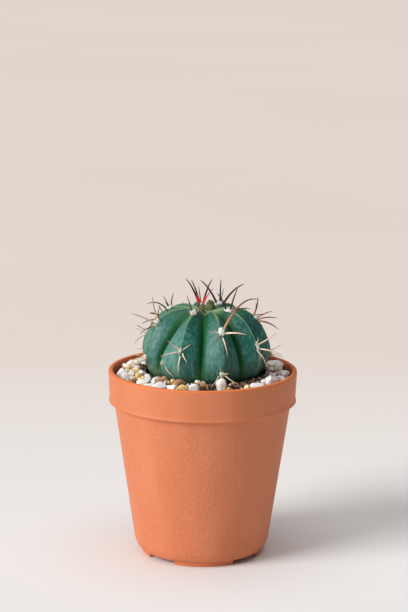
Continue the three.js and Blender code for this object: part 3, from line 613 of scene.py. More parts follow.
def soil_crumbs():
    """Dark crumbly potting soil with pale specks of grit."""
    n = Nodes("Soil crumbs")
    lumps = n.noise(900, 5, 0.65)
    colour = n.ramp(lumps, [(0.3, (0.012, 0.008, 0.006)), (0.55, (0.045, 0.028, 0.018)),
                            (0.8, (0.12, 0.078, 0.05))])
    colour = n.mix(n.step(n.cells(1400)["Distance"], 0.16, 0.1), colour, (0.36, 0.3, 0.24))
    return n.surface(colour, 0.95, {"Normal": n.bump(lumps, 0.9, 1.0)})


def stone_surface(group):
    """Stone with its own tone on each pebble, soft clouds, fine grains and a few stained spots."""
    n = Nodes("Stone " + group)
    clear, crumbly = group in CLEAR_GROUPS, group == "grey"
    clouds = n.noise(420, 5, 0.66)
    grains = n.noise(2200, 3, 0.6)
    cloudy = n.times(n.math("SUBTRACT", clouds, 0.36), 1.5)
    grainy = n.times(n.math("SUBTRACT", grains, 0.5), 0.35 if clear else 0.8)
    value = n.math("ADD", n.math("ADD", n.times(n.attribute("tone"), 0.7), cloudy), grainy)
    stain = n.step(n.noise(330, 4, 0.65, n.scaled((1.1, 0.9, 1.3))), 0.56, 0.68, 0, 0.2 if clear else 0.45)
    colour = n.mix(stain, n.ramp(value, STONE_LOOKS[group]), (0.5, 0.27, 0.13))
    if crumbly:
        crumbs = n.cells(950)
        red = n.split("Color", crumbs["Color"])[0]
        colour = n.layered(colour, (n.step(red, 0.4, 0.9, 0, 0.6), (0.3, 0.19, 0.2)),
                           (n.step(crumbs["Distance"], 0.42, 0.65, 0, 0.6), (0.12, 0.08, 0.08)))
    normal = n.bump(clouds, 0.45, 1.6 if crumbly else 0.5, n.bump(grains, 0.4, 0.15))
    return n.surface(colour, n.step(clouds, 0.3, 0.7, 0.22, 0.5), {
        "Normal": normal, "Subsurface Weight": 0.55 if clear else 0.12, "Subsurface Radius": (1.0, 0.9, 0.8),
        "Subsurface Scale": 2.4 * MM})


def grit_surface():
    """Fine brown and grey grit under the stones, with light and dark grains."""
    n = Nodes("Grit")
    grains = n.cells(1300)
    red = n.split("Color", grains["Color"])[0]
    colour = n.ramp(red, [(0.0, (0.02, 0.012, 0.009)), (0.5, (0.06, 0.035, 0.024)), (0.8, (0.16, 0.1, 0.07)),
                          (0.96, (0.42, 0.33, 0.27))])
    colour = n.mix(n.step(grains["Distance"], 0.35, 0.6), colour, (0.02, 0.013, 0.01))
    return n.surface(colour, 0.9, {"Normal": n.bump(n.math("SUBTRACT", 1.0, grains["Distance"]), 1.0, 0.5)})


def cactus_skin(settings):
    """Waxy blue-green skin: grey wax on some flanks, partly painted sheen where they face the light, deep
    green grooves with painted shade at their very bottom, thin pale crests that are partly a painted
    highlight, a yellower crown, a corky foot and painted shade where the skin meets the gravel."""
    n = Nodes("Cactus skin")
    dip, rise, bloomed, off_crest = [n.attribute(name) for name in ("dip", "rise", "bloomed", "off_crest")]
    lengthwise = n.scaled((1, 1, 0.22))
    clouds = n.noise(130, 5, 0.62, lengthwise)
    streak = n.noise(800, 3, 0.6, n.scaled((1, 1, 0.4)))

    # Shares of the flanks' clouds, the crown and its middle, the crests and the foot
    cloudy = n.times(n.step(dip, 0.0, 0.12, 0.5, 1.0), n.step(dip, 0.9, 0.45),
                     n.step(clouds, 0.3, 0.65, 0.4, 1.0))
    paled = n.times(cloudy, n.math("MAXIMUM", n.times(bloomed, -1.0), 0.0))
    # Grey wax share on each flank from the rib looks, set high on flanks that face the light: partly painted
    # sheen
    wax_and_sheen = n.times(cloudy, n.math("MAXIMUM", bloomed, 0.0), n.step(rise, 0.8, 0.35, 0.6, 1.0),
                    n.step(rise, 0.08, 0.34, 0.55, 1.0))
    crown = n.times(n.step(rise, 0.8, 1.0), n.step(dip, 0.9, 0.2, 0.3, 0.8))
    heart = n.times(n.step(n.attribute("off_axis"), 12.0, 5.0), n.step(clouds, 0.3, 0.6, 0.35, 0.9))
    ridge = n.times(n.step(off_crest, 1.3, 0.3), n.step(rise, 0.84, 0.97, 0, 0.6))
    # Pale line along the crests, partly the skin's colour and partly a painted highlight where a crest
    # catches the light
    line = n.times(n.step(off_crest, 0.5, 0.12), n.step(n.noise(90, 2, 0.5), 0.3, 0.6, 0.4, 0.9),
                   n.attribute("line"), n.step(rise, 0.1, 0.55, 0.35, 1.0))
    corky = n.times(n.step(rise, 0.32, 0.05), n.step(n.noise(300, 4, 0.62), 0.34, 0.6), n.attribute("corky"))
    colour = n.layered(
        settings.green,
        (n.step(n.noise(45, 3, 0.55), 0.36, 0.66), settings.green_deep_and_groove_shade),
        (paled, settings.crest),
        (wax_and_sheen, settings.wax_and_sheen),
        (n.step(streak, 0.44, 0.66, 0, 0.42), settings.wax_and_sheen),
        (n.step(streak, 0.5, 0.32, 0, 0.55), settings.green_deep_and_groove_shade),
        (n.step(dip, 0.5, 0.8, 0, 0.95), settings.groove),
        # Painted shade: deep green laid on the very bottom of each groove
        (n.step(dip, 0.96, 1.0, 0, 0.7), settings.green_deep_and_groove_shade),
        (crown, settings.young),
        (heart, settings.heart),
        (ridge, settings.heart),
        (line, settings.crest),
        (corky, settings.cork),
        # Painted shade: darker olive on the lowest skin, where it meets the gravel
        (n.step(rise, 0.17, 0.03, 0, 0.75), settings.foot),
        (n.step(n.cells(1100)["Distance"], 0.22, 0.1, 0, 0.3), settings.crest),
    )
    roughness = n.step(clouds, 0.35, 0.7, settings.roughness, settings.roughness + 0.12)
    normal = n.bump(n.noise(230, 3, 0.5, lengthwise), 0.3, 0.3, n.bump(n.noise(1700, 3, 0.55), 0.3, 0.09))
    return n.surface(colour, roughness, {
        "Normal": normal, "Subsurface Weight": 0.06, "Subsurface Radius": (0.6, 1.0, 0.4),
        "Subsurface Scale": 1.5 * MM, "Specular IOR Level": 0.3})


def young_growth():
    """Olive young growth with brown specks and pale down on its bumps."""
    n = Nodes("Young growth")
    specks = n.noise(900, 4, 0.65)
    colour = n.layered((0.05, 0.1, 0.025), (n.step(n.noise(420, 3, 0.6), 0.38, 0.62), (0.12, 0.17, 0.06)),
                       (n.step(specks, 0.54, 0.62), (0.1, 0.045, 0.02)),
                       (n.step(specks, 0.38, 0.3, 0, 0.5), (0.4, 0.42, 0.28)))
    return n.surface(colour, 0.7, {"Normal": n.bump(specks, 0.8, 0.5)})


def wool_felt():
    """White felted hair, yellower on the old areoles and brown along the lower edges."""
    n = Nodes("Areole wool")
    age = n.attribute("age")
    clumps = n.noise(1500, 3, 0.6)
    clumped = n.step(clumps, 0.35, 0.65)
    fresh = n.mix(clumped, (0.82, 0.8, 0.76), (0.96, 0.96, 0.95))
    aged = n.mix(clumped, (0.74, 0.64, 0.44), (0.95, 0.9, 0.72))
    lower = n.times(n.step(n.attribute("under"), 0.25, 0.85),
                    n.step(n.noise(700, 3, 0.6), 0.36, 0.6, 0.1, 0.8), n.step(age, 0.15, 0.3))
    colour = n.layered(fresh, (n.step(age, 0.66, 0.95), aged), (lower, (0.45, 0.31, 0.18)))
    return n.surface(colour, 0.95, {
        "Normal": n.bump(clumps, 0.6, 0.3), "Sheen Weight": 0.4, "Subsurface Weight": 0.4,
        "Subsurface Scale": 0.9 * MM})


def needle_horn():
    """Horn-like needles: scarlet with a dark tip at the crown's middle, maroon to near black round it, tan
    with a dark tip on the shoulder, cream with a pink tip further down and straw at the foot, each ringed
    across by fine growth lines."""
    n = Nodes("Needle horn")
    share, age = n.attribute("share"), n.attribute("age")
    scarlet, maroon, tan, cream = [n.ramp(share, stops) for stops in NEEDLE_LOOKS]
    colour = n.layered(scarlet, (n.step(age, SCARLET_AGE, SCARLET_AGE + 0.015), maroon),
                       (n.step(age, 0.42, 0.58), tan), (n.step(age, 0.68, 0.8), cream),
                       (n.step(age, WORN_AGE - 0.02, WORN_AGE + 0.01, 0, 0.5), (0.86, 0.74, 0.5)))
    colour = n.mix(n.step(n.attribute("tone"), 0, 1, 0.0, 0.4), colour, (0.84, 0.74, 0.64), "MULTIPLY")
    rings = n.math("SINE", n.times(n.attribute("length_mm"), 9.0))
    colour = n.mix(n.step(rings, -0.2, 0.9, 0, 0.08), colour, (0.9, 0.75, 0.6))
    return n.surface(colour, 0.45, {"Normal": n.bump(rings, 0.35, 0.05), "Specular IOR Level": 0.3})


def pale_floor(front, back):
    """Plain pale matt floor, a little warmer and darker toward the back, with barely visible clouds."""
    n = Nodes("Pale floor")
    depth = n.split("XYZ", n.coordinates)[1]
    clouds = n.step(n.noise(1.4, 2, 0.4), 0.3, 0.7, 0, 0.03)
    return n.surface(n.layered(front, (n.step(depth, -0.05, 0.5), back), (clouds, (0, 0, 0))), 0.8, {})


def plant_points(place, turn, share):
    """Point between the crest's and the groove's outline, by the flank's depth at its share of the way, at a
    turn round the plant's axis."""
    crest, groove = along_outline(CREST, place), along_outline(GROOVE, place)
    middle = crest + (groove - crest) * np.atleast_1d(flank(np.asarray(share, float), place))[:, None]
    return round_axis(middle[:, 0], np.radians(turn), RIM + middle[:, 1]) + np.array([PLANT_X, 0, 0])


def column_turn(rib, groove, share, place):
    """Turn at a share of the way from a rib's crest to a groove, each with its lean at the place; the groove
    before the first rib is the last one, a full turn back."""
    lean = smooth_share(place, *LEAN_PLACES)
    crest = RIB_TURNS[rib] + RIB_LEANS[rib] * lean
    bottom = GROOVE_TURNS[groove] + GROOVE_LEANS[groove] * lean - 360 * (np.asarray(groove) < 0)
    return crest + (bottom - crest) * share


def rib_columns(per_flank):
    """Rib, groove, share of the way between and side of each column of skin, closest at both ends."""
    share = 0.5 - 0.5 * np.cos(np.linspace(0, np.pi, per_flank, endpoint=False))
    ribs = np.repeat(np.arange(len(RIB_TURNS)), 2 * per_flank)
    side = np.tile(np.repeat([-1, 1], per_flank), len(RIB_TURNS))
    return ribs, ribs - (side < 0), np.tile(np.concatenate([1 - share, share]), len(RIB_TURNS)), side


def areole_frame(rib, place, aside):
    """Place, outward direction, direction up the crest, and sideways direction of an areole."""
    degrees = float(column_turn(rib, rib - 1 if aside < 0 else rib, abs(aside), place))
    turn = math.radians(degrees)
    outward = np.array([math.sin(turn), -math.cos(turn), 0])
    side = np.array([math.cos(turn), math.sin(turn), 0])
    step = (along_outline(CREST, place - 0.02) - along_outline(CREST, place + 0.02))[0]
    slope = np.array([-1.0, 0.0]) if place < CROWN_PLACE + 0.3 else unit(step)
    up = outward * slope[0] + np.array([0, 0, slope[1]])
    normal = outward * slope[1] - np.array([0, 0, slope[0]])
    return plant_points(place, degrees, abs(aside))[0], normal, up, side


def leaned(areole, turn, lean, length):
    """Offset of a given length that leans away from the areole's outward direction toward a turn."""
    _, normal, up, side = areole
    turn, lean = math.radians(turn), math.radians(lean)
    return length * (normal * math.cos(lean) + up * math.sin(lean) * math.cos(turn)
                     + side * math.sin(lean) * math.sin(turn))


def needle_tips(areole, seed, young, tips):
    """Tip offsets with the bend's lift and the colour's shift as set one by one, or a fan that leans out all
    round with one long central needle that leans down; the fan is longest toward the foot."""
    if tips is not None:
        return [np.array((*tip, 0, 0)[:5], float) for tip in tips]
    fan = []
    for i, turn in enumerate(YOUNG_FAN_TURNS if young else FAN_TURNS):
        by_turn = FAN_LENGTH * (1 + UP_SHARE - (1 - UP_SHARE) * math.cos(math.radians(turn))) / 2
        length = (YOUNG_LENGTH if young else by_turn) * (0.8 + 0.4 * draw(seed, i))
        scatter = FAN_SCATTER * (draw(seed, i + 10) - 0.5)
        fan.append(leaned(areole, turn + scatter, YOUNG_LEAN if young else FAN_LEAN, length))
    if not young:
        fan.append(leaned(areole, 140 + 80 * draw(seed, 30), CENTRAL_LEAN, CENTRAL_LENGTH))
    for tip in fan:
        tip[2] = max(tip[2], RIM + LOWEST_TIP - areole[0][2])
    return [np.append(tip, (0, 0)) for tip in fan]


def needles():
    """All needles as arrays: root, bend and tip points, age from 0 at the crown to 1 at the foot, and the
    colour's shift."""
    made = []
    for seed, (rib, place, aside, tips) in enumerate(AREOLES):
        areole = areole_frame(rib, place, aside)
        spot, normal = areole[:2]
        for *offset, lift, shift in needle_tips(areole, seed, place < CROWN_PLACE, tips):
            tip = np.array(offset)
            length = np.linalg.norm(tip)
            spread = min(ROOT_SPREAD, MOST_SPREAD / length)
            rise = (NEEDLE_BEND + ASIDE_BEND * abs(aside)) * length
            root = spot + spread * tip - (NEEDLE_SINK + spread * tip @ normal) * normal
            bend = spot + BEND_PLACE * tip + rise * normal + np.array((0, 0, lift))
            made.append((root, bend, spot + tip, min(1.0, place / OLDEST_PLACE), shift))
    return [np.array(values) for values in zip(*made)]


def needle_mesh(thickness, stations=22, sides=9):
    """Round needles along parabolas from root over bend to tip. The radius falls by a power of what is left
    of the length, over a slightly swollen root."""
    root, bend, end, age, shift = needles()
    count = len(root)
    s = np.linspace(0, 1, stations) ** STATION_POWER
    s3 = s[None, :, None]
    path = (1 - s3) ** 2 * root[:, None] + 2 * s3 * (1 - s3) * bend[:, None] + s3 ** 2 * end[:, None]
    along = unit(2 * (1 - s3) * (bend - root)[:, None] + 2 * s3 * (end - bend)[:, None])
    across = unit(np.cross(bend - root, end - bend) + np.array([1e-4, 2e-4, 0]))
    across = np.broadcast_to(across[:, None], along.shape)
    length = np.linalg.norm(end - root, axis=-1)
    index = np.arange(count)
    base = 0.5 * thickness * (0.78 + 0.3 * draw(index, 90)) * np.clip(length / FAN_LENGTH, *THINNEST_THICKEST)
    base *= np.where(age > WORN_AGE, WORN_THICKNESS, 1)
    swelling = 1 + ROOT_SWELLING * np.exp(-s / SWELLING_REACH)
    taper = (1 - s) ** TAPER_POWER * swelling * (1 - TIP_THICKNESS - 0.01) + TIP_THICKNESS
    rings = tube_rings(path, across, np.cross(along, across), base[:, None] * taper, sides)
    tip = end[:, None] + along[:, -1:] * TIP_HEIGHT
    shapes = np.concatenate([rings.reshape(count, -1, 3), root[:, None], tip], axis=1)
    share = np.append(np.repeat(s, sides), (0, 1))
    young = age < SCARLET_AGE
    attributes = {"share": share * (1 - np.where(young, shift, 0))[:, None],
                  "age": np.where(young, age, age + shift), "tone": draw(index, 91),
                  "length_mm": share * length[:, None]}
    return new_shapes("needles", shapes, *capped_grid(stations, sides), attributes)


def tuft_hairs(areole, axes, size, seed, count, stations):
    """Short three-sided hairs that start all over a tuft, lean off it at random and curl: ring points and
    the height of each on the tuft."""
    spot, normal, up, side = areole
    n = np.arange(count)
    turn = n * GOLDEN_ANGLE
    out = np.sqrt((n + 0.5) / count)
    a, b, c, d, e = [draw(n + 97 * seed, channel) for channel in (41, 42, 43, 44, 45)]
    start = np.stack([out * np.cos(turn), out * np.sin(turn), np.sqrt(1 - 0.92 * out ** 2)], -1)
    lean = start + 0.9 * np.stack([a - 0.5, b - 0.5, 0.4 * c], -1)
    reach = size * (0.35 + 0.4 * d)
    root = spot + WOOL_LIFT * normal + 0.85 * start @ axes
    direction = unit(lean @ np.stack([side, up, normal]))
    curl = np.cross(direction, normal) * (e - 0.5)[:, None]
    s = np.linspace(0, 1, stations)[None, :, None]
    bent = s * direction[:, None] + 0.9 * s ** 2 * curl[:, None] - 0.25 * s ** 2 * normal
    path = root[:, None] + reach[:, None, None] * bent
    first = unit(np.cross(direction, up + 0.01))
    second = np.cross(direction, first)
    radius = 0.5 * HAIR_THICKNESS * (1 - 0.75 * s[..., 0])
    return tube_rings(path, first[:, None], second[:, None], radius, 3), start[:, 1]


def wool_mesh(hairs_per_tuft, stations=4):
    """Felted tufts: a lumpy flattened ball on each areole with short hairs that curl off it."""
    ball, ball_quads, ball_tris = unit_ball(9, 14)
    per = stations * 3
    caps = np.array([[0, 2, 1], [per - 3, per - 2, per - 1]])
    quads = np.concatenate([ball_quads, repeated(grid_quads(stations, 3), hairs_per_tuft, per, len(ball))])
    tris = np.concatenate([ball_tris, repeated(caps, hairs_per_tuft, per, len(ball))])
    tufts, ages, unders = [], [], []
    for seed, (rib, place, aside, _) in enumerate(AREOLES):
        areole = areole_frame(rib, place, aside)
        spot, normal, up, side = areole
        share = YOUNG_WOOL if place < CROWN_PLACE else WORN_WOOL if place > WORN_PLACE else 1.0
        size = WOOL_RADIUS * share * (0.85 + 0.3 * draw(seed, 40))
        across, along = OWN_TUFTS.get((rib, place), (1, 1))
        wide, long, thick = WOOL_AXES
        axes = size * np.stack([wide * across * side, long * along * up, thick * normal])
        lump = 1 + 0.16 * np.sin(5.1 * ball[:, 0] + seed) * np.sin(4.3 * ball[:, 1] + 2 * seed) - 0.05
        hairs, heights = tuft_hairs(areole, axes, size, seed, hairs_per_tuft, stations)
        tufts.append(np.concatenate([spot + WOOL_LIFT * normal + (ball * lump[:, None]) @ axes, hairs]))
        ages.append(min(1.0, place / OLDEST_PLACE))
        unders.append(-np.append(ball[:, 1], np.repeat(heights, per)))
    return new_shapes("areole_wool", tufts, quads, tris, {"age": ages, "under": unders})


def skin_mesh(rows, per_flank):
    """Ribbed skin on a grid of places along the outlines and turns round the plant, with slight swellings
    over each areole and shallow unevenness, closed at the crown and at the root's tip."""
    place = np.concatenate([np.linspace(FIRST_PLACE, ROOT_PLACE, rows),
                            np.linspace(ROOT_PLACE + 0.3, LAST_PLACE, ROOT_ROWS)])
    columns = rib_columns(per_flank)
    rib, groove, share, side = [np.tile(values, len(place)) for values in columns]
    count = len(columns[0])
    p = np.repeat(place, count)
    t = column_turn(rib, groove, share, p)
    points = plant_points(p, t, share)
    angle = np.radians(t)
    swell = np.zeros(len(p))
    for wanted, spot, aside, _ in AREOLES:
        near = np.exp(-((p - spot) / SWELL_REACH[0]) ** 2 - ((side * share - aside) / SWELL_REACH[1]) ** 2)
        swell += np.where((rib == wanted) & (spot > CROWN_PLACE), SWELL_HEIGHT * near, 0)
    uneven = (0.12 * np.sin(1.1 * p + 4 * angle) * np.sin(7 * angle + 0.5 * p)
              + 0.05 * np.sin(2.6 * p + 11 * angle)) * np.clip(p / 2, 0, 1) * (p <= ROOT_PLACE)
    points += round_axis(swell + uneven * (1 - 0.6 * share), angle, 0)
    ends = np.array([[PLANT_X, 0, RIM + height] for height in CREST[[0, -1], 1]])
    crest = plant_points(p, column_turn(rib, rib, 0, p), 0 * share)
    attributes = {
        "dip": np.append(flank(share, p), [1, 1]),
        "rise": np.append(np.clip((points[:, 2] - RIM + 2) / 32, 0, 1), [1, 0]),
        "off_crest": np.append(np.hypot(*(points - crest)[:, :2].T), [9, 9]),
        "off_axis": np.append(np.hypot(points[:, 0] - PLANT_X, points[:, 1]), [0, 0]),
        # Shares from the rib looks: the crest line is partly a painted highlight, the flanks' grey wax partly
        # painted sheen
        "line": np.append(RIB_LOOKS[rib, 0], [0, 0]),
        "bloomed": np.append(RIB_LOOKS[rib, np.where(side < 0, 1, 2)], [0, 0]),
        "corky": np.append(RIB_LOOKS[rib, 3], [0, 0]),
    }
    points = np.concatenate([points, ends])
    return new_object("cactus_skin", points, *capped_grid(len(place), count), attributes)


def bud_mesh(rows=30, columns=44):
    """Young growth beside the crown's middle: half buried balls with low bumps made by crossed sines."""
    ball, quads, tris = unit_ball(rows, columns)
    shapes = []
    for right, back, top, radius in CROWN_KNOBS:
        waves = np.sin(np.array([7.3, 6.1, 5.7]) * ball + np.array([right, back, 0])).prod(axis=1)
        half = np.array([radius, radius, top - CREST[0, 1]])
        bumpy = ball * (1 + KNOB_BUMPS * waves)[:, None]
        shapes.append(bumpy * half + np.array([right, back, RIM + CREST[0, 1]]))
    return new_shapes("crown_buds", shapes, quads, tris)


def plant_radius(x, y, z):
    """Radius of the plant's skin at a height and in the direction of a point, between the crest's and the
    groove's radius at that height."""
    places = np.linspace(7, 12, 60)
    at_crest, at_groove = [np.interp(RIM - z, -line[:, 1], line[:, 0])
                           for line in (along_outline(CREST, places), along_outline(GROOVE, places))]
    turn = np.degrees(np.arctan2(x - PLANT_X, -y))
    before = GROOVE_TURNS[-1] - 360
    turn = np.where(turn < before, turn + 360, turn)
    knots = np.stack([RIB_TURNS + RIB_LEANS, GROOVE_TURNS + GROOVE_LEANS], -1).ravel()
    shares = np.append(1.0, np.tile([0.0, 1.0], len(RIB_TURNS)))
    share = np.interp(turn, np.append(before, knots), shares)
    return at_crest + (at_groove - at_crest) * flank(share, FULLNESS_PLACES[1])


def clear_of_plant(points, margin):
    """Moves points that would enter the plant straight out to just off its skin."""
    away = points[:, :2] - np.array([PLANT_X, 0])
    distance = np.linalg.norm(away, axis=1)
    wanted = np.maximum(distance, plant_radius(*points.T) + margin)
    moved = points.copy()
    moved[:, :2] = np.array([PLANT_X, 0]) + away * (wanted / distance)[:, None]
    return moved


def off_spots(x, y, spots):
    """Least distance from the edges of round spots, each (right, back, radius)."""
    return np.min([np.hypot(x - right, y - back) - radius for right, back, radius in spots], axis=0)


def stone_list():
    """Stones of the rows, spread round the pot and kept off the plant, the bare spots and the key stones,
    and then the key stones: place, half sizes, turn, seed and colour group."""
    stones = []
    groups, limits = list(STONE_GROUPS), np.cumsum(list(STONE_GROUPS.values()))
    key_spots = [(x, y, along) for x, y, _, along, *_ in KEY_STONES]
    kept_off = [([PLANT_SPOT], 0.2), (key_spots, 0.5), (BARE_SPOTS, 0.8)]
    for row, (inset, spacing) in enumerate(STONE_ROWS):
        ring = LIP_INNER_RADIUS - inset
        count = round(2 * math.pi * ring / spacing)
        for i in range(count):
            seed = 100 * (row + 1) + i
            turn = 2 * math.pi * (i + 0.5 * row + STONE_SCATTER * (draw(seed, 60) - 0.5)) / count
            size = STONE_RADIUS * (0.72 + 0.5 * draw(seed, 62))
            half = size * np.array([*STONE_STRETCH, 0.7 + 0.3 * draw(seed, 63)])
            reach = min(ring + 1.4 * (draw(seed, 61) - 0.5), LIP_INNER_RADIUS - 0.7 - half[0])
            x, y, z = round_axis(reach, turn, RIM + bed_height(reach) + half[2] * STONE_LIFT)
            if all(off_spots(x, y, spots) > share * half[0] for spots, share in kept_off):
                group = groups[int(np.searchsorted(limits, draw(seed, 80) * limits[-1]))]
                stones.append(((x, y, z), half, math.pi * draw(seed, 64), seed, group))
    for i, (x, y, top, along, across, group) in enumerate(KEY_STONES):
        up = (top - bed_height(math.hypot(x, y)) + STONE_SINK) / 2
        half = np.array([along, across, up])
        stones.append(((x, y, RIM + top - up), half, 0.5 * (draw(i, 70) - 0.5), KEY_SEED + i, group))
    return stones


def crystal_mesh(place, half):
    """Upright six-sided crystal: rings of (height, radius) in shares of its half sizes, widest above its
    middle and drawn in to a small flat top, with each corner moved a little out or in."""
    rings = np.array([(-1, 0.95), (0.3, 1.0), (0.7, 0.8), (1.0, 0.3)])
    angle = ring_turns(CRYSTAL_SIDES) + 0.6 * np.pi / CRYSTAL_SIDES
    corners = np.arange(CRYSTAL_SIDES) + 10 * np.arange(len(rings))[:, None]
    reach = rings[:, 1:] * (0.9 + 0.2 * draw(corners, 75))
    body = np.stack([reach * np.cos(angle), reach * np.sin(angle), rings[:, :1] + 0 * angle], -1)
    points = np.concatenate([body.reshape(-1, 3), [[0, 0, -1], [0, 0, 1]]]) * half + np.array(place)
    tones = {"tone": np.full(len(points), CRYSTAL_TONE)}
    return new_object("crystal", points, *capped_grid(len(rings), CRYSTAL_SIDES), tones, smooth=False)


def chipped(points, seed):
    """Ball swollen toward a box by a power norm, cut back to random planes, hard on some stones and softly on
    others, so that it gets flat sides, and then made a little lumpy by crossed sines."""
    power = 2 + 1.3 * draw(seed, 99)
    shaped = points / (np.abs(points) ** power).sum(axis=1, keepdims=True) ** (1 / power)
    softness = 0.00005 + 0.0012 * draw(seed, 98) ** 2
    for k in range(STONE_FACES):
        turn, height = 2 * np.pi * draw(seed, 100 + k), 2 * draw(seed, 120 + k) - 1
        level = math.sqrt(1 - height * height)
        plane = np.array([level * math.cos(turn), level * math.sin(turn), height])
        over = shaped @ plane - (0.58 + 0.34 * draw(seed, 140 + k))
        over = 0.5 * (over + np.sqrt(over ** 2 + softness))
        shaped = shaped - over[:, None] * plane
    waves = np.sin(np.array([3.1, 2.7, 3.7]) * shaped + 6.28 * draw(seed, np.arange(3) + 160)).prod(axis=1)
    return shaped * (1.16 + 0.09 * waves)[:, None]


def stone_mesh(group, stones, rows):
    """One mesh of all stones of a colour group, each chipped, stretched, tilted, turned and put in place."""
    ball, quads, tris = unit_ball(rows, 3 * rows // 2)
    shapes = []
    for place, half, turn, seed, _ in stones:
        tilt = 0.5 * (draw(seed, 51) - 0.5)
        spin = Matrix.Rotation(turn, 3, "Z") @ Matrix.Rotation(tilt, 3, "X")
        shaped = (chipped(ball, seed) * half) @ np.array(spin).T + np.array(place)
        shapes.append(clear_of_plant(shaped, STONE_CLEARANCE))
    tones = draw([stone[3] for stone in stones], 53)
    piece = new_shapes("stones_" + group, shapes, quads, tris, {"tone": tones})
    smooth_by_angle(piece, STONE_EDGE)
    return piece


def strewn_mesh(name, count, sizes, lift, seed, detail):
    """Small loose chips strewn over the bed by a golden-angle spiral with a random step, each a ball of a few
    faces with its corners moved in or out, squashed and turned."""
    ball, quads, tris = unit_ball(*detail)
    n = np.arange(count) + 1000 * seed
    inner, outer = BED_HOLE_RADIUS + 0.4, LIP_INNER_RADIUS - 0.6 - sizes[1]
    radius = np.sqrt(inner ** 2 + (outer ** 2 - inner ** 2) * (n - n[0] + draw(n, 200)) / count)
    angle = n * GOLDEN_ANGLE + 0.4 * draw(n, 201)
    x, y, _ = round_axis(radius, angle, 0).T
    keep = off_spots(x, y, [PLANT_SPOT]) > 0.3
    if lift > 0.5:
        keep &= off_spots(x, y, GRIT_SPOTS) > 0
    x, y, radius, n = x[keep], y[keep], radius[keep], n[keep]
    size = sizes[0] + (sizes[1] - sizes[0]) * draw(n, 202) ** 2
    z = RIM + bed_height(radius) + lift * size
    squash = np.stack([0.8 + 0.5 * draw(n, 203), 0.8 + 0.4 * draw(n, 204), 0.6 + 0.4 * draw(n, 205)], -1)
    wobble = 1 + 0.3 * (draw(n[:, None], 210 + np.arange(len(ball))[None]) - 0.5)
    chips = ball[None] * wobble[..., None] * (size[:, None] * squash)[:, None]
    turn = 6.28 * draw(n, 206)
    c, s = np.cos(turn)[:, None], np.sin(turn)[:, None]
    right, back, up = np.moveaxis(chips, -1, 0)
    chips = np.stack([c * right - s * back, s * right + c * back, up], -1)
    points = clear_of_plant((chips + np.stack([x, y, z], -1)[:, None]).reshape(-1, 3), CHIP_CLEARANCE)
    return new_shapes(name, points.reshape(chips.shape), quads, tris, {"tone": draw(n, 207)}, smooth=False)


def bed_mesh(sides=240, rings=46):
    """Ring of grit: its top follows the bed's height with low bumps made by sines, then it goes down its
    hole, under and up the wall."""
    wall = LIP_INNER_RADIUS - GAP - 0.3
    turn = ring_turns(sides)
    hole = PLANT_X * np.sin(turn) + np.sqrt(BED_HOLE_RADIUS ** 2 - (PLANT_X * np.cos(turn)) ** 2)
    f = np.linspace(0, 1, rings)[:, None]
    radius = wall + (hole - wall) * f
    bumps = (0.22 * np.sin(2.9 * radius + 31 * turn) * np.sin(1.7 * radius - 47 * turn)
             + 0.12 * np.sin(5.3 * radius + 90 * turn))
    top = RIM + bed_height(radius) + bumps * (4 * f * (1 - f))
    under = RIM + bed_height(radius[[-1, 0]]) - BED_DEPTH
    radii = np.concatenate([radius, radius[[-1, 0]]])
    points = round_axis(radii, turn, np.concatenate([top, under])).reshape(-1, 3)
    last = (len(radii) - 1) * sides
    j = np.arange(sides)
    k = (j + 1) % sides
    closing = np.stack([last + j, j, k, last + k], -1)
    return new_object("grit_bed", points, np.concatenate([grid_quads(len(radii), sides), closing]))


def number(name, description, default, **others):
    """Number that the panel shows."""
    return FloatProperty(name=name, description=description, default=default, **others)


def whole(name, description, default, **others):
    """Whole number that the panel shows."""
    return IntProperty(name=name, description=description, default=default, **others)


def tint(name, description, default):
    """Colour that the panel shows."""
    return FloatVectorProperty(name=name, description=description, default=default, subtype="COLOR")


def arc(name, description, degrees):
    """Angle in degrees that the panel shows."""
    return number(name, description, math.radians(degrees), subtype="ANGLE")


class PotSettings(bpy.types.PropertyGroup):
    """Sizes and colours of the pot"""
    sides: whole("Sides", "Flat sides round the pot", 192, min=48)
    roughness: number("Roughness", "Roughness of the plastic", 0.52, subtype="FACTOR")
    colour: tint("Colour", "Main colour", (0.635, 0.2, 0.09))
    colour_pale: tint("Pale colour", "Colour of the faint pale streaks", (0.68, 0.23, 0.113))
    # Painted highlight along the lip
    colour_lip_highlight: tint("Lip colour", "Colour along the worn lip", (0.74, 0.2, 0.065))
    # Painted shade: colour of the inner wall's shaded left side over the gravel
    colour_inner_shade: tint("Inside colour", "Colour of the inner wall over the gravel", (0.4, 0.09, 0.035))


class GravelSettings(bpy.types.PropertyGroup):
    """Detail of the gravel"""
    stone_rows: whole("Stone rows", "Rows of faces on each stone", 16, min=6, max=24)
    chips: number("Chips", "Share of the small chips that is strewn", 1.0, min=0.1, max=1.5, subtype="FACTOR")


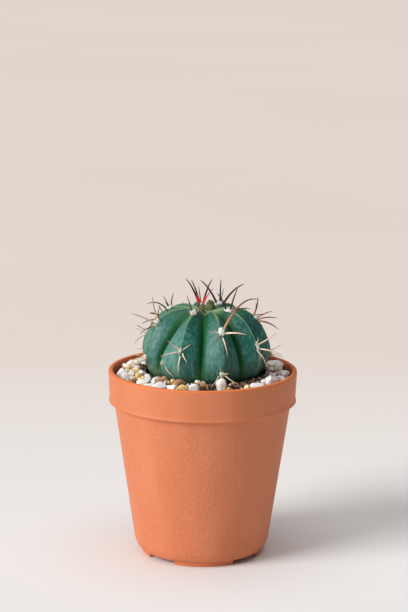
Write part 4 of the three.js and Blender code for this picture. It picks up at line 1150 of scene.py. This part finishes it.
class PlantSettings(bpy.types.PropertyGroup):
    """Sizes and colours of the plant"""
    rows: whole("Rows", "Rows of skin from the crown to under the gravel", 200, min=60)
    per_flank: whole("Columns per flank", "Columns of skin on each flank of a rib", 18)
    hairs: whole("Hairs per tuft", "Felted hairs on each areole", 110, min=0)
    needle_thickness: number("Needle thickness", "Thickness of a long needle at its root", 1.02 * MM,
                             unit="LENGTH")
    roughness: number("Roughness", "Roughness of the waxy skin", 0.42, subtype="FACTOR")
    green: tint("Green", "Main skin colour", (0.007, 0.13, 0.097))
    # Also laid as painted shade at the very bottom of the grooves
    green_deep_and_groove_shade: tint("Deep green", "Darker skin in large blotches", (0.004, 0.083, 0.067))
    # Grey-blue wax colour, also laid as painted sheen on the flanks that face the light
    wax_and_sheen: tint("Bloom", "Grey-blue wax on the flanks", (0.13, 0.285, 0.25))
    groove: tint("Groove", "Skin at the bottom of the grooves", (0.003, 0.087, 0.014))
    # Colour of the pale crest line, which is partly a painted highlight, and of the pale dots
    crest: tint("Crest", "Pale line along the crests and pale dots", (0.27, 0.46, 0.31))
    young: tint("Young skin", "Yellower skin round the crown", (0.006, 0.107, 0.046))
    heart: tint("Heart", "Olive skin close to the crown's middle", (0.23, 0.31, 0.15))
    cork: tint("Cork", "Corky skin at the foot", (0.2, 0.28, 0.12))
    # Painted shade where the skin meets the gravel
    foot: tint("Foot", "Darker olive skin at the gravel", (0.015, 0.05, 0.018))


class StageSettings(bpy.types.PropertyGroup):
    """Floor and light"""
    floor: tint("Floor", "Colour of the floor in front", (0.87, 0.885, 0.9))
    floor_back: tint("Floor back", "Colour of the floor far back", (0.81, 0.735, 0.69))
    sky: tint("Sky", "Colour of the light from all round", (1.0, 0.98, 0.96))
    sky_strength: number("Sky strength", "Strength of the light from all round", 0.2)
    key_strength: number("Key strength", "Strength of the broad light from the left", 2.9)
    key_spread: arc("Key spread", "Apparent width of the broad light", 32)
    key_turn: arc("Key turn", "Direction of the broad light from the front", -60)
    key_rise: arc("Key rise", "Height of the broad light over the floor", 28)
    top_strength: number("Top strength", "Strength of the soft light from above", 1.1)
    top_spread: arc("Top spread", "Apparent width of the light from above", 60)


class MakePot(bpy.types.Operator):
    """Turn the pot with its band, lip and foot ring, and cut its drain holes and the gaps between its pads"""
    bl_idname = "cactus.make_pot"
    bl_label = "Pot"

    def execute(self, context):
        settings = context.scene.cactus_pot
        pad_inside, bead = PAD_RADIUS - PAD_WIDTH, BAND_FOOT_RADIUS + BEAD
        outline = rounded([
            (0, FLOOR_UNDERSIDE, 0), (pad_inside, FLOOR_UNDERSIDE, 0.3), (pad_inside + 0.2, 0, 0.25),
            (PAD_RADIUS - 0.1, 0, 0.35), (PAD_RADIUS, FLOOR_UNDERSIDE, 0.15),
            (PAD_RADIUS + 0.4, FLOOR_UNDERSIDE, 0.3), (BODY_FOOT_RADIUS - 1.6, FLOOR_UNDERSIDE + 1.15, 0.9),
            (BODY_FOOT_RADIUS - 0.6, FLOOR_UNDERSIDE + 3.0, 1.2), (BODY_FOOT_RADIUS, BODY_FOOT_HEIGHT, 0.8),
            (BODY_TOP_RADIUS, BAND_FOOT + 0.1, 0.1), (BAND_FOOT_RADIUS - 0.2, BAND_FOOT, 0.2),
            (bead, BAND_FOOT + 0.2, 0.2), (bead, BAND_FOOT + 0.8, 0.3),
            (BAND_FOOT_RADIUS, BAND_FOOT + 1.7, 0.6), (RIM_RADIUS, RIM - 1, 0.6),
            (RIM_RADIUS - 0.25, RIM, 0.8), (LIP_INNER_RADIUS + 0.1, RIM, 0.7),
            (LIP_INNER_RADIUS, RIM - 1, 0.5), (BAND_INNER_RADIUS, LEDGE + 1, 0.4),
            (inner_wall(LEDGE), LEDGE, 0.5),
            (inner_wall(BODY_FOOT_HEIGHT + 1), BODY_FOOT_HEIGHT + 1, 1),
            (BODY_FOOT_RADIUS - 2.4, FLOOR_TOP + 1, 0.9), (BODY_FOOT_RADIUS - 4, FLOOR_TOP, 0.6),
            (0, FLOOR_TOP, 0),
        ])
        pot = turned("pot_shell", outline, settings.sides)
        apply_cuts(pot, self.cutters())
        smooth_by_angle(pot, POT_EDGE)
        finish_pieces([(pot, pot_plastic(settings))], "pot")
        return {"FINISHED"}

    def cutters(self):
        """Wedges between the pads, and round bars through the floor in line with the pads."""
        made = []
        reach = (PAD_RADIUS + 2) * 1.06
        walls = np.concatenate([grid_quads(2, 4), [(0, 1, 2, 3), (7, 6, 5, 4)]])
        drain = np.array([(0, -1), (DRAIN_RADIUS, -1), (DRAIN_RADIUS, 6), (0, 6)], float)
        for i in range(PAD_COUNT):
            middle = PAD_TURN + (i + 0.5) * 360 / PAD_COUNT
            turns = np.radians(middle + NOTCH_TURN / 2 * np.array([-1, 1, 1, -1]))
            radii = np.array([NOTCH_START, NOTCH_START, reach, reach])
            corners = [round_axis(radii, turns, height) for height in (-1, FLOOR_UNDERSIDE - 0.05)]
            made.append(new_object("notch", np.concatenate(corners), walls, smooth=False))
            hole = turned("drain", drain, 40)
            place = round_axis(DRAIN_RING, math.radians(middle - 180 / PAD_COUNT), 0)
            hole.data.transform(Matrix.Translation(place * MM))
            made.append(hole)
        return made


class MakeSoil(bpy.types.Operator):
    """Fill the pot with soil up to under the gravel, with a plain hole for the plant"""
    bl_idname = "cactus.make_soil"
    bl_label = "Soil"

    def execute(self, context):
        shoulder = BAND_INNER_RADIUS - GAP - 0.1
        radii = np.linspace(shoulder, BED_HOLE_RADIUS, 12)
        tops = RIM + bed_height(radii) - BED_DEPTH - GAP
        low, high = BODY_FOOT_HEIGHT + 1.4, LEDGE - 1
        outline = [(0, FLOOR_TOP + GAP), (BODY_FOOT_RADIUS - 4.4, FLOOR_TOP + GAP),
                   (BODY_FOOT_RADIUS - 3, FLOOR_TOP + 1.2), (inner_wall(low) - GAP, low),
                   (inner_wall(high) - GAP, LEDGE - 0.4), (shoulder, LEDGE + 1.6), *zip(radii, tops),
                   (0, tops[-1])]
        soil = turned("soil_fill", np.array(outline), SOIL_SIDES)
        buried = CREST[CREST_AT_RIM:][::-1]
        drop = np.where(buried[:, 0] < 3, 1.0, 0.2)
        pocket = np.column_stack([buried[:, 0] + POCKET_GAP, RIM + buried[:, 1] - drop])
        pocket[0, 0] = 0
        pocket = np.concatenate([pocket, [(BED_HOLE_RADIUS, RIM + BED_DEPTH), (0, RIM + BED_DEPTH)]])
        hole = turned("pocket", pocket, SOIL_SIDES)
        hole.data.transform(Matrix.Translation((PLANT_X * MM, 0, 0)))
        apply_cuts(soil, [hole])
        smooth_by_angle(soil, SOIL_EDGE)
        finish_pieces([(soil, soil_crumbs())], "soil")
        return {"FINISHED"}


class MakeGravel(bpy.types.Operator):
    """Lay the grit bed, its small chips and the stones of each colour"""
    bl_idname = "cactus.make_gravel"
    bl_label = "Gravel"

    def execute(self, context):
        settings = context.scene.cactus_gravel
        stones = stone_list()
        surfaces = {group: stone_surface(group) for group in STONE_LOOKS}
        pieces = [(bed_mesh(), grit_surface())]
        for group in STONE_GROUPS:
            chosen = [stone for stone in stones if stone[4] == group and stone[3] != CRYSTAL_SEED]
            pieces.append((stone_mesh(group, chosen, settings.stone_rows), surfaces[group]))
        place, half = next(stone[:2] for stone in stones if stone[3] == CRYSTAL_SEED)
        pieces.append((crystal_mesh(place, half), surfaces["quartz"]))
        for seed, (group, count, sizes, lift) in enumerate(SMALL_CHIPS):
            detail = (2, 5) if group == "grit" else (3, 7)
            chips = strewn_mesh("chips_" + group, round(count * settings.chips), sizes, lift, seed, detail)
            pieces.append((chips, surfaces[group]))
        finish_pieces(pieces, "gravel")
        return {"FINISHED"}


class MakePlant(bpy.types.Operator):
    """Grow the ribbed skin, the young buds, the wool tufts and the needles"""
    bl_idname = "cactus.make_plant"
    bl_label = "Cactus"

    def execute(self, context):
        settings = context.scene.cactus_plant
        pieces = [(skin_mesh(settings.rows, settings.per_flank), cactus_skin(settings)),
                  (bud_mesh(), young_growth()),
                  (wool_mesh(settings.hairs), wool_felt()),
                  (needle_mesh(settings.needle_thickness / MM), needle_horn())]
        finish_pieces(pieces, "cactus")
        return {"FINISHED"}


class MakeStage(bpy.types.Operator):
    """Lay the pale floor, hang the soft light and set the camera"""
    bl_idname = "cactus.make_stage"
    bl_label = "Stage"

    def execute(self, context):
        settings = context.scene.cactus_stage
        corners = [(x * FLOOR_REACH, y * FLOOR_REACH, 0) for x, y in ((-1, -1), (1, -1), (1, 1), (-1, 1))]
        floor = new_object("floor", corners, np.array([(0, 1, 2, 3)]), smooth=False)
        floor.data.materials.append(pale_floor(settings.floor, settings.floor_back))
        self.light_all_round(context, settings)
        self.soft_light(context, "Key light", settings.key_strength, settings.key_spread, settings.key_turn,
                        settings.key_rise)
        self.soft_light(context, "Top light", settings.top_strength, settings.top_spread, 0,
                        math.radians(TOP_LIGHT_RISE))
        self.aim_camera(context)
        context.scene.view_settings.view_transform = "Standard"
        return {"FINISHED"}

    def light_all_round(self, context, settings):
        world = bpy.data.worlds.new("Soft sky")
        world.use_nodes = True
        background = world.node_tree.nodes["Background"]
        background.inputs["Color"].default_value = (*settings.sky, 1)
        background.inputs["Strength"].default_value = settings.sky_strength
        context.scene.world = world

    def soft_light(self, context, name, strength, spread, turn, rise):
        """Wide far light from a turn round the pot, counted from the front, and a height over the floor."""
        data = bpy.data.lights.new(name, "SUN")
        data.angle = spread
        data.energy = strength
        data.color = LIGHT_COLOUR
        light = bpy.data.objects.new(name, data)
        context.scene.collection.objects.link(light)
        toward = Vector(round_axis(math.cos(rise), turn, math.sin(rise)))
        light.location = toward
        light.rotation_euler = (-toward).to_track_quat("-Z", "Y").to_euler()

    def aim_camera(self, context):
        """Camera at the view distance and elevation, turned so that the rim's middle falls on its pixel."""
        data = bpy.data.cameras.new("Camera")
        data.sensor_fit = "AUTO"
        data.sensor_width = 36
        data.lens = FOCAL_PX * data.sensor_width / FRAME_HEIGHT_PX
        data.clip_end = 100
        camera = bpy.data.objects.new("Camera", data)
        context.scene.collection.objects.link(camera)
        elevation = math.radians(VIEW_ELEVATION)
        height = RIM + VIEW_DISTANCE * math.sin(elevation)
        camera.location = Vector((0, -VIEW_DISTANCE * math.cos(elevation), height)) * MM
        pitch = elevation - math.atan((RIM_CENTRE_PX[1] - FRAME_HEIGHT_PX / 2) / FOCAL_PX)
        yaw = math.atan((RIM_CENTRE_PX[0] - FRAME_WIDTH_PX / 2) / FOCAL_PX)
        turn = Matrix.Rotation(yaw, 4, "Z") @ Matrix.Rotation(math.pi / 2 - pitch, 4, "X")
        camera.rotation_euler = (turn @ Matrix.Rotation(-math.radians(VIEW_ROLL), 4, "Z")).to_euler()
        context.scene.camera = camera


class CactusPanel(bpy.types.Panel):
    """Settings and makers of the potted cactus"""
    bl_idname = "VIEW3D_PT_cactus"
    bl_label = "Potted Round Cactus"
    bl_space_type = "VIEW_3D"
    bl_region_type = "UI"
    bl_category = "Cactus"

    def draw(self, context):
        for operator, group in STEPS:
            box = self.layout.box()
            box.operator(operator.bl_idname, text=operator.bl_label)
            if group:
                settings = getattr(context.scene, group)
                for key in settings.__annotations__:
                    box.prop(settings, key)


STEPS = [(MakePot, "cactus_pot"), (MakeSoil, None), (MakeGravel, "cactus_gravel"),
         (MakePlant, "cactus_plant"), (MakeStage, "cactus_stage")]
GROUPS = {"cactus_pot": PotSettings, "cactus_gravel": GravelSettings, "cactus_plant": PlantSettings,
          "cactus_stage": StageSettings}
CLASSES = [*GROUPS.values(), *[operator for operator, _ in STEPS], CactusPanel]


def register():
    for cls in CLASSES:
        bpy.utils.register_class(cls)
    for key, group in GROUPS.items():
        setattr(bpy.types.Scene, key, PointerProperty(type=group))


def unregister():
    for key in GROUPS:
        delattr(bpy.types.Scene, key)
    for cls in reversed(CLASSES):
        bpy.utils.unregister_class(cls)


def main():
    register()
    bpy.ops.cactus.make_pot()
    bpy.ops.cactus.make_soil()
    bpy.ops.cactus.make_gravel()
    bpy.ops.cactus.make_plant()
    bpy.ops.cactus.make_stage()


if __name__ == "__main__":
    main()
